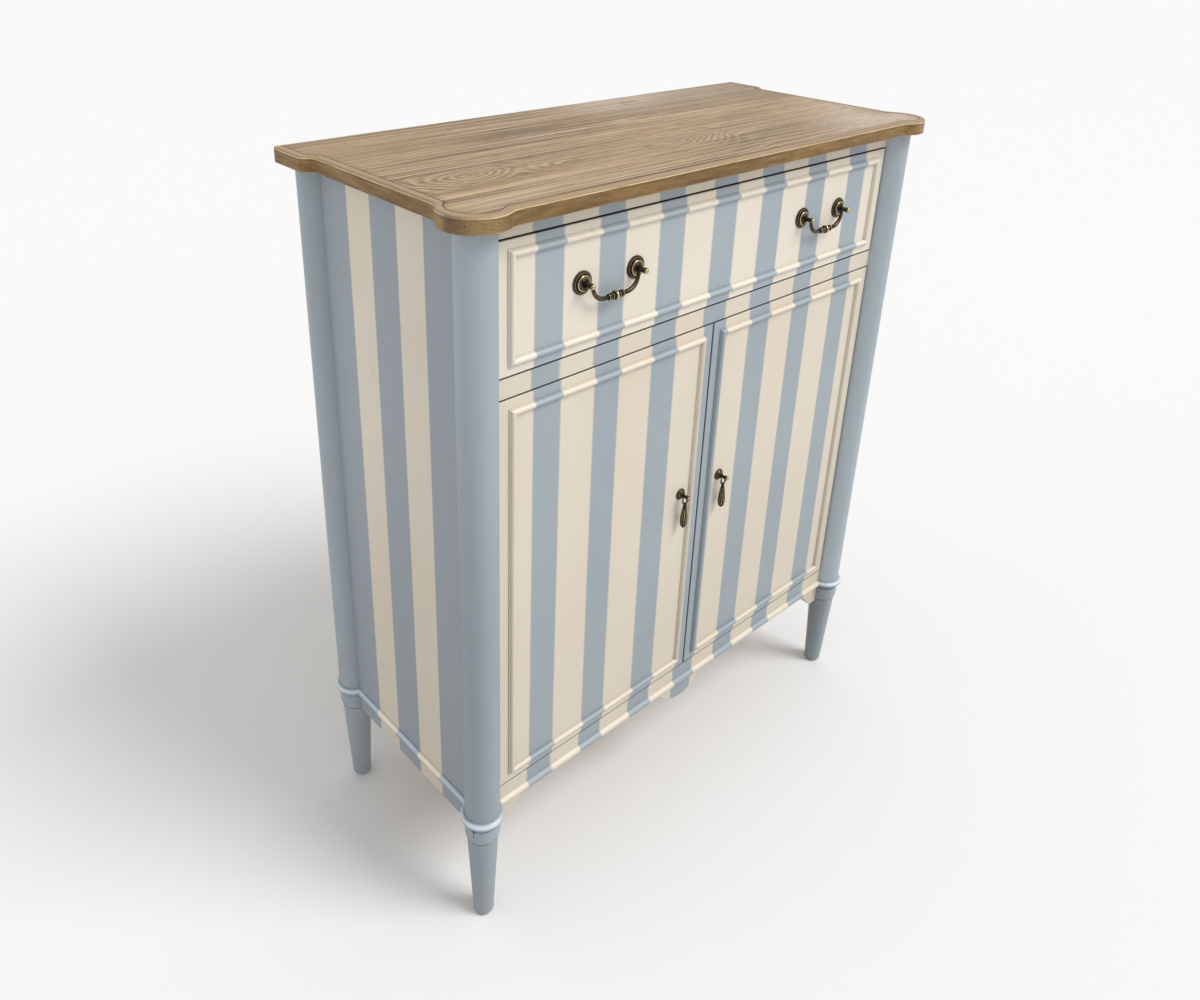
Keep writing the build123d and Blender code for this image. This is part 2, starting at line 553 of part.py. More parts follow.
# ---- bail handles --------------------------------------------------------------------
def bail(cx):
    """U-shaped bail: pins through the posts, round arms, thicker grip with turned rings."""
    arm_x, drop, bend, corner = 32.5, 19.0, 14.5, 2.0
    arm_r, grip_r = 1.9, 2.6
    pins = cyl_x(BAIL_Y, PULL_Z, cx - PULL_HALF - 4.4, cx - arm_x - corner, BAIL_PIN_R) + \
        cyl_x(BAIL_Y, PULL_Z, cx + arm_x + corner, cx + PULL_HALF + 4.4, BAIL_PIN_R)
    p = Plane(origin=(cx, BAIL_Y, PULL_Z), x_dir=(1, 0, 0), z_dir=(0, -1, 0))
    path = Curve() + [
        Line((-arm_x - corner - 0.3, 0), (-arm_x - corner, 0)),
        ThreePointArc((-arm_x - corner, 0), (-arm_x - corner + corner * math.sin(math.radians(45)), -corner + corner * math.cos(math.radians(45))), (-arm_x, -corner)),
        Line((-arm_x, -corner), (-arm_x, -drop + bend)),
        ThreePointArc((-arm_x, -drop + bend), (-arm_x + bend - bend * math.cos(math.radians(45)), -drop + bend - bend * math.sin(math.radians(45))), (-arm_x + bend, -drop)),
        Line((-arm_x + bend, -drop), (arm_x - bend, -drop)),
        ThreePointArc((arm_x - bend, -drop), (arm_x - bend + bend * math.sin(math.radians(45)), -drop + bend - bend * math.cos(math.radians(45))), (arm_x, -drop + bend)),
        Line((arm_x, -drop + bend), (arm_x, -corner)),
        ThreePointArc((arm_x, -corner), (arm_x + corner - corner * math.cos(math.radians(45)), -corner + corner * math.sin(math.radians(45))), (arm_x + corner, 0)),
        Line((arm_x + corner, 0), (arm_x + corner + 0.3, 0)),
    ]
    wire = (p * path).wires()[0]
    section = Plane(origin=(cx - arm_x - corner - 0.3, BAIL_Y, PULL_Z), z_dir=(1, 0, 0)) * Circle(arm_r)
    rod = sweep(section, path=wire)
    g = arm_x - bend
    prof = [
        Line((-g, 0), (-g, arm_r)),
        ThreePointArc((-g, arm_r), (-g / 2 - 4, grip_r), (-9.2, grip_r)),
        Line((-9.2, grip_r), (-9.2, 3.6)),
        Line((-9.2, 3.6), (-7.6, 3.6)),
        Line((-7.6, 3.6), (-7.4, 2.8)),
        Line((-7.4, 2.8), (-5.9, 2.9)),
        ThreePointArc((-5.9, 2.9), (-4.9, 4.6), (-3.8, 3.3)),
        Line((-3.8, 3.3), (-3.2, 3.3)),
        ThreePointArc((-3.2, 3.3), (0, 5.7), (3.2, 3.3)),
        Line((3.2, 3.3), (3.8, 3.3)),
        ThreePointArc((3.8, 3.3), (4.9, 4.6), (5.9, 2.9)),
        Line((5.9, 2.9), (7.4, 2.8)),
        Line((7.4, 2.8), (7.6, 3.6)),
        Line((7.6, 3.6), (9.2, 3.6)),
        Line((9.2, 3.6), (9.2, grip_r)),
        ThreePointArc((9.2, grip_r), (g / 2 + 4, grip_r), (g, arm_r)),
        Line((g, arm_r), (g, 0)),
        Line((g, 0), (-g, 0)),
    ]
    grip = revolve(make_face(Curve() + prof), Axis.X, 360)
    grip = Pos(cx, BAIL_Y, PULL_Z - drop) * grip
    return rod + pins + grip


add("bail_left", one(bail(PULL_LEFT)))
add("bail_right", one(bail(PULL_RIGHT)))


# ---- doors -----------------------------------------------------------------------------
def knob_profile():
    ball_y, ball_r, neck_r = 13.5, 3.1, 2.2
    y_join = ball_y - math.sqrt(ball_r ** 2 - neck_r ** 2)
    return [
        Line((0, -9.0), (1.8, -9.0)),
        Line((1.8, -9.0), (1.8, 0)),
        Line((1.8, 0), (7.6, 0)),
        Line((7.6, 0), (7.6, 1.1)),
        ThreePointArc((7.6, 1.1), (6.1, 3.6), (3.2, 5.0)),
        Line((3.2, 5.0), (2.2, 5.6)),
        Line((2.2, 5.6), (neck_r, y_join)),
        ThreePointArc((neck_r, y_join), (ball_r, ball_y), (0, ball_y + ball_r)),
        Line((0, ball_y + ball_r), (0, -9.0)),
    ]


def pendant(cx):
    """Stirrup through the knob's neck and a turned drop below it."""
    w, straight = 4.2, 6.0
    loop = cyl_x(DROP_Y, KNOB_Z, cx - w, cx + w, DROP_PIN_R)
    for s in (-1, 1):
        loop = loop + Pos(cx + s * w, DROP_Y, KNOB_Z) * Sphere(DROP_PIN_R)
        loop = loop + cyl_z(cx + s * w, DROP_Y, KNOB_Z - straight, KNOB_Z, DROP_PIN_R)
    bow = Pos(cx, DROP_Y, KNOB_Z - straight) * Rot(90, 0, 0) * Torus(w, DROP_PIN_R)
    bow = bow & box(cx - 8, cx + 8, DROP_Y - 3, DROP_Y + 3, KNOB_Z - straight - 8, KNOB_Z - straight)
    prof = [
        Line((0, -9.3), (1.3, -9.3)),
        Line((1.3, -9.3), (1.3, -11.0)),
        Spline([(1.3, -11.0), (2.3, -17.0), (3.7, -25.0), (4.7, -33.5), (4.1, -40.5), (0, -45.0)],
               tangents=[(0.05, -1), (-1, -0.02)]),
        Line((0, -45.0), (0, -9.3)),
    ]
    drop = Pos(cx, DROP_Y, KNOB_Z) * revolve(Plane.XZ * make_face(Curve() + prof), Axis.Z, 360)
    return loop + bow + drop


def door(sx, name):
    x_out, x_in = sx * FRONT_HALF, sx * DOOR_GAP
    a, b = sorted((x_out, x_in))
    slab = eased_front(a, b, Z_DOOR0, Z_DOOR1)
    px = sx * PIV_X
    bushes = []
    for z0, z1, d0, d1 in ((Z_DOOR0, Z_DOOR0 + 8.0, Z_DOOR0 - 1, Z_DOOR0 + 9.5),
                           (Z_DOOR1 - 8.0, Z_DOOR1, Z_DOOR1 - 9.5, Z_DOOR1 + 1)):
        bushes.append(cyl_z(px, PIV_Y, z0, z1, BUSH_R) - cyl_z(px, PIV_Y, z0 - 1, z1 + 1, BUSH_BORE))
        slab = slab - cyl_z(px, PIV_Y, z0 if z0 > 400 else z0 - 1, z1 + 1 if z0 > 400 else z1, BUSH_R)
        slab = slab - cyl_z(px, PIV_Y, d0, d1, PIN_R + 0.6)
    kx = sx * KNOB_X
    knob = lathe_y(knob_profile(), kx, KNOB_Z)
    knob = knob - cyl_x(DROP_Y, KNOB_Z, kx - 6, kx + 6, DROP_HOLE_R)
    slab = slab - cyl_y(kx, KNOB_Z, -1.0, 9.0, 1.8)
    s0, s1 = sorted((sx * 13.0, sx * 35.0))
    strike = box(s0, s1, FRONT_T, FRONT_T + 1.1, 682.0, 696.0)
    strike = fillet(strike.edges().filter_by(Axis.Y), 2.0)
    add("door_%s_panel" % name, slab)
    m0, m1 = sorted((x_out - sx * DOOR_MOULD[0], x_in + sx * DOOR_MOULD[1]))
    add("door_%s_moulding" % name, moulding(m0, m1, Z_DOOR0 + DOOR_MOULD[2], Z_DOOR1 - DOOR_MOULD[2]))
    add("door_%s_bushes" % name, group(*bushes))
    add("door_%s_strike" % name, strike)
    add("door_%s_knob" % name, one(knob))
    add("door_%s_pendant" % name, one(pendant(kx)))


door(-1, "left")
door(1, "right")
add("shelf", shelf)

# ---- export ------------------------------------------------------------------------------
os.makedirs("parts", exist_ok=True)
for part_name, shape in PARTS.items():
    solids = [s.moved(Location((0, -Y_CENTRE, 0))) for s in shape.solids()]
    result = solids[0] if len(solids) == 1 else Compound(children=solids)
    result.label = part_name
    export_step(result, "parts/%s.step" % part_name)
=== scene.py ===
import bpy
import math
from mathutils import Matrix, Vector


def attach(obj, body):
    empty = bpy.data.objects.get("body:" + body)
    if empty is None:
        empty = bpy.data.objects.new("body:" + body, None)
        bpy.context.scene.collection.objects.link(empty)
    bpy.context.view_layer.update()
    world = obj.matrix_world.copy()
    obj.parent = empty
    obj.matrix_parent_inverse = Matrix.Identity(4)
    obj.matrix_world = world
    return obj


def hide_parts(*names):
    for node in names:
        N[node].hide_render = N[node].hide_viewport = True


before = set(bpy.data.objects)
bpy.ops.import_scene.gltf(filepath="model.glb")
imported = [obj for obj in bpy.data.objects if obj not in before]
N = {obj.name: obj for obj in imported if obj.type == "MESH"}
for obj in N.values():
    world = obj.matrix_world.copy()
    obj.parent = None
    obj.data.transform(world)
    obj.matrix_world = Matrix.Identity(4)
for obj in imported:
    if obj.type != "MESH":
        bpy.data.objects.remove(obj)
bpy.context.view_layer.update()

scene = bpy.context.scene
YC = 0.1404                     # the CAD's own y is the working y less this


def lin(rgb, k=1.0):
    out = []
    for v in rgb:
        v = v / 255.0
        out.append(k * (v / 12.92 if v <= 0.04045 else ((v + 0.055) / 1.055) ** 2.4))
    return (out[0], out[1], out[2], 1.0)


# =============================================================== camera
cam_data = bpy.data.cameras.new("camera")
cam_data.sensor_fit = "HORIZONTAL"
cam_data.sensor_width = 36.0
F, CX, CY, PW, PH = 989.187, 570.064, 341.182, 1200.0, 1000.0
cam_data.lens = F / PW * 36.0
cam_data.shift_x = (PW / 2 - CX) / PW
cam_data.shift_y = -(PH / 2 - CY) / PW
cam_data.clip_start = 0.05
cam_data.clip_end = 200.0
cam_data.dof.use_dof = False
cam = bpy.data.objects.new("camera", cam_data)
R = ((0.7411628074, -0.6708137112, 0.0262041569),
     (-0.2530452409, -0.3153108137, -0.9146295408),
     (0.6218084906, 0.6712585610, -0.4034428650))
rot = Matrix(((R[0][0], -R[1][0], -R[2][0]),
              (R[0][1], -R[1][1], -R[2][1]),
              (R[0][2], -R[1][2], -R[2][2])))
cam.matrix_world = Matrix.Translation((-0.852705, -0.812873, 1.142694)) @ rot.to_4x4()
scene.collection.objects.link(cam)
scene.camera = cam
scene.view_settings.view_transform = "Standard"
scene.view_settings.look = "None"
scene.view_settings.exposure = 0.0
scene.view_settings.gamma = 1.0

# =============================================================== light
world = bpy.data.worlds.new("studio")
scene.world = world
world.use_nodes = True
bg = world.node_tree.nodes["Background"]
bg.inputs["Color"].default_value = (1.0, 1.0, 1.0, 1.0)
bg.inputs["Strength"].default_value = 0.72


def sun(name, towards, strength, angle):
    d = bpy.data.lights.new(name, "SUN")
    d.energy = strength
    d.angle = math.radians(angle)
    o = bpy.data.objects.new(name, d)
    o.rotation_mode = "QUATERNION"
    o.rotation_quaternion = Vector(towards).normalized().to_track_quat("Z", "Y")
    scene.collection.objects.link(o)
    return o


def softbox(name, place, target, w, h, power, spec=1.0):
    d = bpy.data.lights.new(name, "AREA")
    d.shape = "RECTANGLE"
    d.size, d.size_y = w, h
    d.energy = power
    d.specular_factor = spec
    o = bpy.data.objects.new(name, d)
    o.location = place
    o.rotation_mode = "QUATERNION"
    o.rotation_quaternion = (Vector(place) - Vector(target)).to_track_quat("Z", "Y")
    scene.collection.objects.link(o)
    return o


sun("key", (0.34, -0.56, 0.76), 1.95, 27.0)
sun("left_fill", (-0.85, 0.42, 0.30), 0.10, 50.0)


# =============================================================== shader graph helper
class E:
    """A socket that takes part in arithmetic."""

    def __init__(self, g, s):
        self.g, self.s = g, s

    def __add__(self, o): return self.g.op("ADD", self, o)
    def __radd__(self, o): return self.g.op("ADD", o, self)
    def __sub__(self, o): return self.g.op("SUBTRACT", self, o)
    def __rsub__(self, o): return self.g.op("SUBTRACT", o, self)
    def __mul__(self, o): return self.g.op("MULTIPLY", self, o)
    def __rmul__(self, o): return self.g.op("MULTIPLY", o, self)
    def __truediv__(self, o): return self.g.op("DIVIDE", self, o)
    def __pow__(self, o): return self.g.op("POWER", self, o)
    def abs(self): return self.g.op("ABSOLUTE", self)
    def sqrt(self): return self.g.op("SQRT", self)
    def sin(self): return self.g.op("SINE", self)
    def frac(self): return self.g.op("FRACT", self)
    def floor(self): return self.g.op("FLOOR", self)
    def exp(self): return self.g.op("EXPONENT", self)
    def min(self, o): return self.g.op("MINIMUM", self, o)
    def max(self, o): return self.g.op("MAXIMUM", self, o)
    def clamp(self): return self.min(1.0).max(0.0)
    def step(self, a, b, lo=0.0, hi=1.0):
        """Smooth step from lo at a to hi at b."""
        return self.g.maprange(self, a, b, lo, hi)


class G:
    def __init__(self, name):
        self.m = bpy.data.materials.new(name)
        self.m.use_nodes = True
        self.nt = self.m.node_tree
        self.nt.nodes.clear()
        self.out = self.nt.nodes.new("ShaderNodeOutputMaterial")
        self.b = self.nt.nodes.new("ShaderNodeBsdfPrincipled")
        self.nt.links.new(self.b.outputs[0], self.out.inputs[0])
        self.tc = self.nt.nodes.new("ShaderNodeTexCoord")
        s = self.nt.nodes.new("ShaderNodeSeparateXYZ")
        self.nt.links.new(self.tc.outputs["Object"], s.inputs[0])
        self.x, self.y, self.z = (E(self, s.outputs[i]) for i in range(3))
        self.y = self.y + YC              # working y: 0 at the faces of the doors
        sn = self.nt.nodes.new("ShaderNodeSeparateXYZ")
        self.nt.links.new(self.tc.outputs["Normal"], sn.inputs[0])
        self.nz = E(self, sn.outputs[2])  # how far the surface faces up
        self._bump = None

    def put(self, socket, v):
        if isinstance(v, E):
            self.nt.links.new(v.s, socket)
        elif isinstance(v, bpy.types.NodeSocket):
            self.nt.links.new(v, socket)
        else:
            socket.default_value = v

    def op(self, kind, a, b=None, c=None):
        n = self.nt.nodes.new("ShaderNodeMath")
        n.operation = kind
        for i, v in enumerate((a, b, c)):
            if v is not None:
                self.put(n.inputs[i], v)
        return E(self, n.outputs[0])

    def maprange(self, v, a, b, lo, hi):
        n = self.nt.nodes.new("ShaderNodeMapRange")
        n.interpolation_type = "SMOOTHSTEP"
        n.clamp = True
        self.put(n.inputs[0], v)
        for i, q in enumerate((a, b, lo, hi)):
            n.inputs[i + 1].default_value = q
        return E(self, n.outputs[0])

    def vec(self, x, y, z):
        n = self.nt.nodes.new("ShaderNodeCombineXYZ")
        for i, v in enumerate((x, y, z)):
            self.put(n.inputs[i], v)
        return n.outputs[0]

    def noise(self, v, scale=1.0, detail=2.0, rough=0.5, dist=0.0):
        n = self.nt.nodes.new("ShaderNodeTexNoise")
        n.noise_dimensions = "3D"
        self.put(n.inputs["Vector"], v)
        n.inputs["Scale"].default_value = scale
        n.inputs["Detail"].default_value = detail
        n.inputs["Roughness"].default_value = rough
        n.inputs["Distortion"].default_value = dist
        return E(self, n.outputs[0])

    def cells(self, v, scale=1.0):
        n = self.nt.nodes.new("ShaderNodeTexVoronoi")
        self.put(n.inputs["Vector"], v)
        n.inputs["Scale"].default_value = scale
        return E(self, n.outputs["Distance"])

    def mix(self, f, a, b):
        n = self.nt.nodes.new("ShaderNodeMix")
        n.data_type = "RGBA"
        n.clamp_factor = True
        self.put(n.inputs[0], f)
        self.put(n.inputs[6], a)
        self.put(n.inputs[7], b)
        return n.outputs[2]

    def tint(self, c, f):
        """Colour times a number."""
        n = self.nt.nodes.new("ShaderNodeVectorMath")
        n.operation = "SCALE"
        self.put(n.inputs[0], tuple(c[:3]) if isinstance(c, tuple) else c)
        self.put(n.inputs["Scale"], f)
        return n.outputs[0]

    def ramp(self, f, stops, mode="LINEAR"):
        n = self.nt.nodes.new("ShaderNodeValToRGB")
        n.color_ramp.interpolation = mode
        e = n.color_ramp.elements
        e[0].position, e[0].color = stops[0]
        e[1].position, e[1].color = stops[-1]
        for p, c in stops[1:-1]:
            q = e.new(p)
            q.color = c
        self.put(n.inputs[0], f)
        return n.outputs[0]

    def attr(self, name):
        n = self.nt.nodes.new("ShaderNodeAttribute")
        n.attribute_type = "GEOMETRY"
        n.attribute_name = name
        return E(self, n.outputs["Fac"])

    def curve(self, f, lo, hi, points):
        """A number that follows a smooth curve through (f, value) points; f runs from lo to hi."""
        top = max(v for _, v in points)
        stops = [((a - lo) / (hi - lo), (v / top, v / top, v / top, 1.0)) for a, v in points]
        return E(self, self.ramp((f - lo) / (hi - lo), stops, "CARDINAL")) * top

    def ao(self, distance, samples=6):
        n = self.nt.nodes.new("ShaderNodeAmbientOcclusion")
        n.samples = samples
        n.inputs["Distance"].default_value = distance
        return E(self, n.outputs["AO"])

    def bump(self, height, dist=0.001, strength=1.0):
        n = self.nt.nodes.new("ShaderNodeBump")
        n.inputs["Strength"].default_value = strength
        n.inputs["Distance"].default_value = dist
        self.put(n.inputs["Height"], height)
        if self._bump is not None:
            self.nt.links.new(self._bump, n.inputs["Normal"])
        self._bump = n.outputs[0]

    def done(self, colour, rough, metallic=0.0, spec=0.5, coat=0.0, coat_rough=0.3):
        self.put(self.b.inputs["Base Color"], colour)
        self.put(self.b.inputs["Roughness"], rough)
        self.put(self.b.inputs["Metallic"], metallic)
        self.b.inputs["Specular IOR Level"].default_value = spec
        self.b.inputs["Coat Weight"].default_value = coat
        self.b.inputs["Coat Roughness"].default_value = coat_rough
        if self._bump is not None:
            self.nt.links.new(self._bump, self.b.inputs["Normal"])
        return self.m


K = 0.82                        # photographed colour to surface colour
CREAM = lin((229, 219, 201), K)
CREAM_WARM = lin((227, 214, 194), K)
BLUE = lin((166, 176, 181), K)
BLUE_DEEP = lin((160, 170, 178), K)
SIDE_BLUE = lin((157, 166, 173), K)
DRAWER_CREAM = lin((229, 220, 204), K)
POST_BLUE = lin((161, 172, 179), K)
RAW = lin((196, 168, 128), K)
# dark slate, used as painted shade in crevices and in the gaps between parts
GAP_SHADE_SLATE = lin((40, 45, 52), K)


# =============================================================== raw wood, shared
def raw_wood(g, along="x", base=RAW):
    """Colour and height of plain, close-grained timber with the grain along one axis."""
    q = {"x": (4.0, 60.0, 60.0), "y": (60.0, 4.0, 60.0), "z": (60.0, 60.0, 4.0)}[along]
    v = g.vec(g.x * q[0], g.y * q[1], g.z * q[2])
    big = g.noise(g.vec(g.x * (q[0] * 0.35), g.y * (q[1] * 0.35), g.z * (q[2] * 0.35)), 1.0, 2.0)
    fine = g.noise(v, 6.0, 4.0, 0.65)
    f = (big * 0.7 + fine * 0.5).step(0.35, 0.85)
    dark = (base[0] * 0.62, base[1] * 0.56, base[2] * 0.48, 1.0)
    light = (min(1.0, base[0] * 1.08), min(1.0, base[1] * 1.06), base[2] * 1.02, 1.0)
    return g.mix(f, dark, light), fine


# =============================================================== paint
STRIPES = [47.3, 85.7, 131.9, 170.3, 220.4, 259.2, 308.4, 346.9, 393.3, 432.5, 479.3, 518.3, 567.1, 606.4]
SIDES = [76.3, 122.8, 170.2, 215.2]


def stripe_mask(g, c, edges, c0, c1, first):
    """0 where cream, 1 where blue. edges in the same unit as c; first is the value before the first edge."""
    half = 0.00022
    stops, v = [], first
    for e in edges:
        stops.append(((e - half - c0) / (c1 - c0), (v, v, v, 1.0)))
        v = 1.0 - v
        stops.append(((e + half - c0) / (c1 - c0), (v, v, v, 1.0)))
    f = (c - c0) / (c1 - c0)
    return E(g, g.ramp(f, stops))


def painted_relief_light(g, up, down, cap=0.75):
    """Painted light and shade: upward-facing sides made paler and downward-facing sides darker, as a factor on the
    paint colour.
    """
    return g.nz.max(0.0).min(cap) * up - (g.nz * -1.0).max(0.0).min(cap) * down + 1.0


def paint_finish(g, mask, cream=CREAM, blue=BLUE, inner=None, inner_along="x", level=1.0, across=None, up=0.0, down=0.0, crest=0.0):
    streak = g.noise(g.vec(g.x * 230.0, g.y * 230.0, g.z * 7.0), 1.0, 3.0, 0.6)
    cloud = g.noise(g.vec(g.x * 5.0, g.y * 5.0, g.z * 3.2), 1.0, 3.0, 0.55)
    peel = g.noise(g.vec(g.x, g.y, g.z), 900.0, 2.0, 0.5)
    cr = g.mix(cloud.step(0.35, 0.7), cream, CREAM_WARM if cream is CREAM else cream)
    bl = g.mix(cloud.step(0.3, 0.7), blue, BLUE_DEEP if blue is BLUE else blue)
    col = g.mix(mask, cr, bl)
    # darker towards the bottom, with faint streaks and an overall level
    low = g.z.step(0.13, 0.64, 0.885, 1.0)
    col = g.tint(col, ((streak - 0.5) * 0.045 + 1.0) * low * level)
    if across is not None:
        col = g.tint(col, across)
    # painted light: upward-facing surfaces paler, downward-facing ones darker
    if up > 0.0:
        col = g.tint(col, painted_relief_light(g, up, down))
    # painted highlight: upward-sloping crests made pale cream on cream stripes and pale blue on blue ones, broken by
    # noise
    if crest > 0.0:
        highlight_break = g.noise(g.vec(g.x * 30.0, g.y * 30.0, g.z * 60.0), 1.0, 3.0).step(0.25, 0.55, 0.7, 1.0)
        pale = g.mix(mask, lin((255, 243, 228), 0.95), lin((214, 226, 240), 0.85))
        col = g.mix(g.nz.step(0.15, 0.58) * (1.0 - g.nz.step(0.93, 0.995)) * highlight_break * crest, col, pale)
    # scattered grey scuffs, and rubs that show the ground coat
    where = g.noise(g.vec(g.x * 6.0, g.y * 6.0, g.z * 5.0 + 3.0), 1.0, 2.0).step(0.52, 0.66)
    scuff = g.noise(g.vec(g.x * 95.0, g.y * 95.0, g.z * 42.0), 1.0, 3.0, 0.6).step(0.60, 0.72)
    col = g.mix(scuff * where * 0.20, col, lin((150, 148, 142), K))
    # painted shade: crevices and the gaps between parts darkened towards dark slate by ambient occlusion
    near = g.ao(0.010)
    col = g.mix(near.step(0.05, 0.58), GAP_SHADE_SLATE, col)
    rough = (streak - 0.5) * 0.10 + (cloud - 0.5) * 0.10 + 0.44
    h = mask * 0.55 + streak * 0.5 + peel * 0.28
    if inner is not None:
        wood, fine = raw_wood(g, inner_along)
        col = g.mix(inner, col, wood)
        rough = rough + inner * 0.22
        h = h * (1.0 - inner) + inner * fine * 0.8
    g.bump(h, 0.00012, 0.75)
    return g.done(col, rough, spec=0.45)


def wobble(g, amount=0.0003):
    return (g.noise(g.vec(g.x * 3.0, g.y * 3.0, g.z * 26.0), 1.0, 3.0, 0.6) - 0.5) * (amount * 2.0)


def front_stripes(name, shift=0.0, back=None, level=1.0, along="x", cream=None, up=0.0, down=0.0):
    g = G(name)
    edges = [(e - 325.0 + shift) / 1000.0 for e in STRIPES]
    mask = stripe_mask(g, g.x + wobble(g), edges, -0.34, 0.34, 0.0)
    inner = None
    if back is not None:
        rag = (g.noise(g.vec(g.x * 40.0, g.y * 40.0, g.z * 40.0), 1.0, 3.0) - 0.5) * 0.0016
        inner = (g.y + rag).step(back - 0.0004, back + 0.0001)
    return paint_finish(g, mask, cream=cream or CREAM, inner=inner, inner_along=along, level=level, up=up, down=down)


def side_stripes(name, inner=True, up=0.0, down=0.0, crest=0.0):
    g = G(name)
    edges = [e / 1000.0 for e in SIDES]
    c = g.y + wobble(g)
    mask = stripe_mask(g, c, edges, -0.02, 0.33, 1.0)
    m = None
    if inner:
        m = g.x.abs().step(0.3395, 0.3402, 1.0, 0.0)
    return paint_finish(g, mask, blue=SIDE_BLUE, inner=m, inner_along="z", level=0.985, across=c.step(0.09, 0.23, 0.99, 1.055), up=up, down=down, crest=crest)


def blue_paint(name, leg=False):
    g = G(name)
    streak = g.noise(g.vec(g.x * 260.0, g.y * 260.0, g.z * 6.0), 1.0, 3.0, 0.62)
    cloud = g.noise(g.vec(g.x * 9.0, g.y * 9.0, g.z * 4.0), 1.0, 3.0, 0.55)
    peel = g.noise(g.vec(g.x, g.y, g.z), 800.0, 2.0, 0.5)
    pale = (POST_BLUE[0] * 1.07, POST_BLUE[1] * 1.06, POST_BLUE[2] * 1.05, 1.0)
    col = g.mix(cloud.step(0.3, 0.75), POST_BLUE, pale)
    low = g.z.step(0.02, 0.30, 0.96, 1.0)
    # painted light and shade on the posts: the front-left post darker low down and paler high up, with its outer flank
    # darker lower down; the front-right post paler, its left flank paler still
    if not leg:
        near_left = (1.0 - g.x.step(-0.30, -0.20)) * (1.0 - g.y.step(0.05, 0.15))
        near_right = g.x.step(0.20, 0.30) * (1.0 - g.y.step(0.05, 0.15))
        rise = g.z.step(0.35, 0.86, 0.855, 1.06)
        low = low * (near_left * (rise - 1.0) + 1.0) * (near_right * 0.07 + 1.0)
        outer = (g.x + 0.3457).step(-0.0205, -0.0020, 1.0, 0.0) * near_left * (1.0 - g.z.step(0.55, 0.80))
        low = low * (1.0 - outer * 0.05)
        flank = near_right * (1.0 - (g.x - 0.3457).step(-0.0205, -0.0080))
        low = low * (flank * 0.20 + 1.0)
    col = g.tint(col, ((streak - 0.5) * 0.05 + 1.0) * low)
    h = streak * 0.5 + peel * 0.3
    if not leg:
        bare = g.x.abs().step(0.3360, 0.3368, 1.0, 0.0) * g.y.step(0.0200, 0.0206)
        wood, fine = raw_wood(g, "z")
        col = g.mix(bare, col, wood)
    if leg:
        # painted highlight on the crest of the ring, painted shadow under it, painted shade in the scribed line, a
        # short dry crack in one collar the tapered part of the front legs is darker than the collar; painted shade
        # darkens each front leg towards its left flank, away from the light
        taper = 1.0 - g.z.step(0.1290, 0.1335)
        lx = (g.x - g.x.step(-0.05, 0.05, -0.3457, 0.3457)) * 48.0
        outer = (lx * -1.0).step(-0.10, 1.0)
        front_l = (1.0 - g.y.step(0.10, 0.20)) * (1.0 - g.x.step(-0.10, 0.10))
        front_r = (1.0 - g.y.step(0.10, 0.20)) * g.x.step(-0.10, 0.10)
        col = g.tint(col, 1.0 - taper * (front_l * 0.13 + front_r * 0.13))
        # painted shade: each front leg darker towards its left flank
        col = g.tint(col, 1.0 - outer * (front_l * 0.10 + front_r * 0.26))
        # painted highlight along the crest of the ring, broken by noise, fading towards each leg's right side
        ring = 1.0 - (g.z - 0.1658).abs().step(0.0010, 0.0028)
        crest = ring * g.noise(g.vec(g.x * 60, g.y * 60, g.z * 60), 1.0, 3.0).step(0.20, 0.5, 0.6, 1.0)
        toward = (1.0 - lx.step(0.20, 0.95) * 0.75) * (1.0 - front_l * 0.14)
        col = g.mix(crest * toward * 0.86, col, lin((222, 231, 240), 0.90))
        # painted shadow: a dark band just under the ring, strongest on the left and towards the front
        under_ring_shadow = g.z.step(0.1522, 0.1545) * (1.0 - g.z.step(0.1578, 0.1590)) * (lx * -0.7 - (g.y - 0.0031) * 33.0 + front_l * 0.2).step(-0.4, 0.7, 0.35, 1.0)
        col = g.mix(under_ring_shadow * 0.62, col, lin((70, 74, 78), K))
        # painted shade in the scribed line
        line = 1.0 - (g.z - 0.1314).abs().step(0.0003, 0.0012)
        col = g.mix(line * 0.50, col, lin((88, 93, 97), K))
        cx = -0.3457 - 0.01933
        cy = 0.0031 - 0.00821
        cr = g.noise(g.vec(g.x * 20.0, g.y * 20.0, g.z * 420.0), 1.0, 2.0) - 0.5
        off = ((g.x - cx) * 0.391 - (g.y - cy) * 0.921).abs()
        side = (1.0 - g.x.step(-0.3580, -0.3565)) * (1.0 - g.y.step(0.004, 0.006))
        near = 1.0 - (off + cr * 0.0009).step(0.0002, 0.0009)
        span = g.z.step(0.1420, 0.1445) * (1.0 - g.z.step(0.1540, 0.1560))
        crack = near * span * side
        col = g.mix(crack * 0.88, col, lin((52, 54, 58), K))
        stain = (1.0 - off.step(0.0010, 0.0042)) * (1.0 - (g.z - 0.1536).abs().step(0.0010, 0.0024)) * side
        col = g.mix(stain * 0.92, col, lin((30, 32, 35), K))
        h = h - crack * 2.0 - line * 1.0
    g.bump(h, 0.00012, 0.75)
    return g.done(col, (streak - 0.5) * 0.10 + (cloud - 0.5) * 0.10 + 0.42, spec=0.45)


# =============================================================== oak
OAK = lin((183, 155, 119), K)
OAK_DEEP = lin((166, 138, 103), K)
OAK_LINE = lin((108, 84, 61), K)
OAK_PALE = lin((208, 186, 154), K)
OAK_PINK = lin((218, 198, 180), K)
PORE = lin((84, 64, 48), K)


def gauss(v, k):
    """Bell curve of a number, 1 at zero."""
    return (v * v * -k).exp()


def leaf_border(g, y):
    """Distance of a point inside the line where the leaf meets its edging, in metres (never below 0)."""
    side = y.step(0.2410, 0.2570, 0.3610, 0.3726) - g.x.abs()
    front = y + 0.0163
    dx = g.x.abs() - 0.3457
    dy = y - 0.0031
    disc = 0.0276 - (dx * dx + dy * dy).sqrt()
    body = side.min(front)
    return body.max(disc)


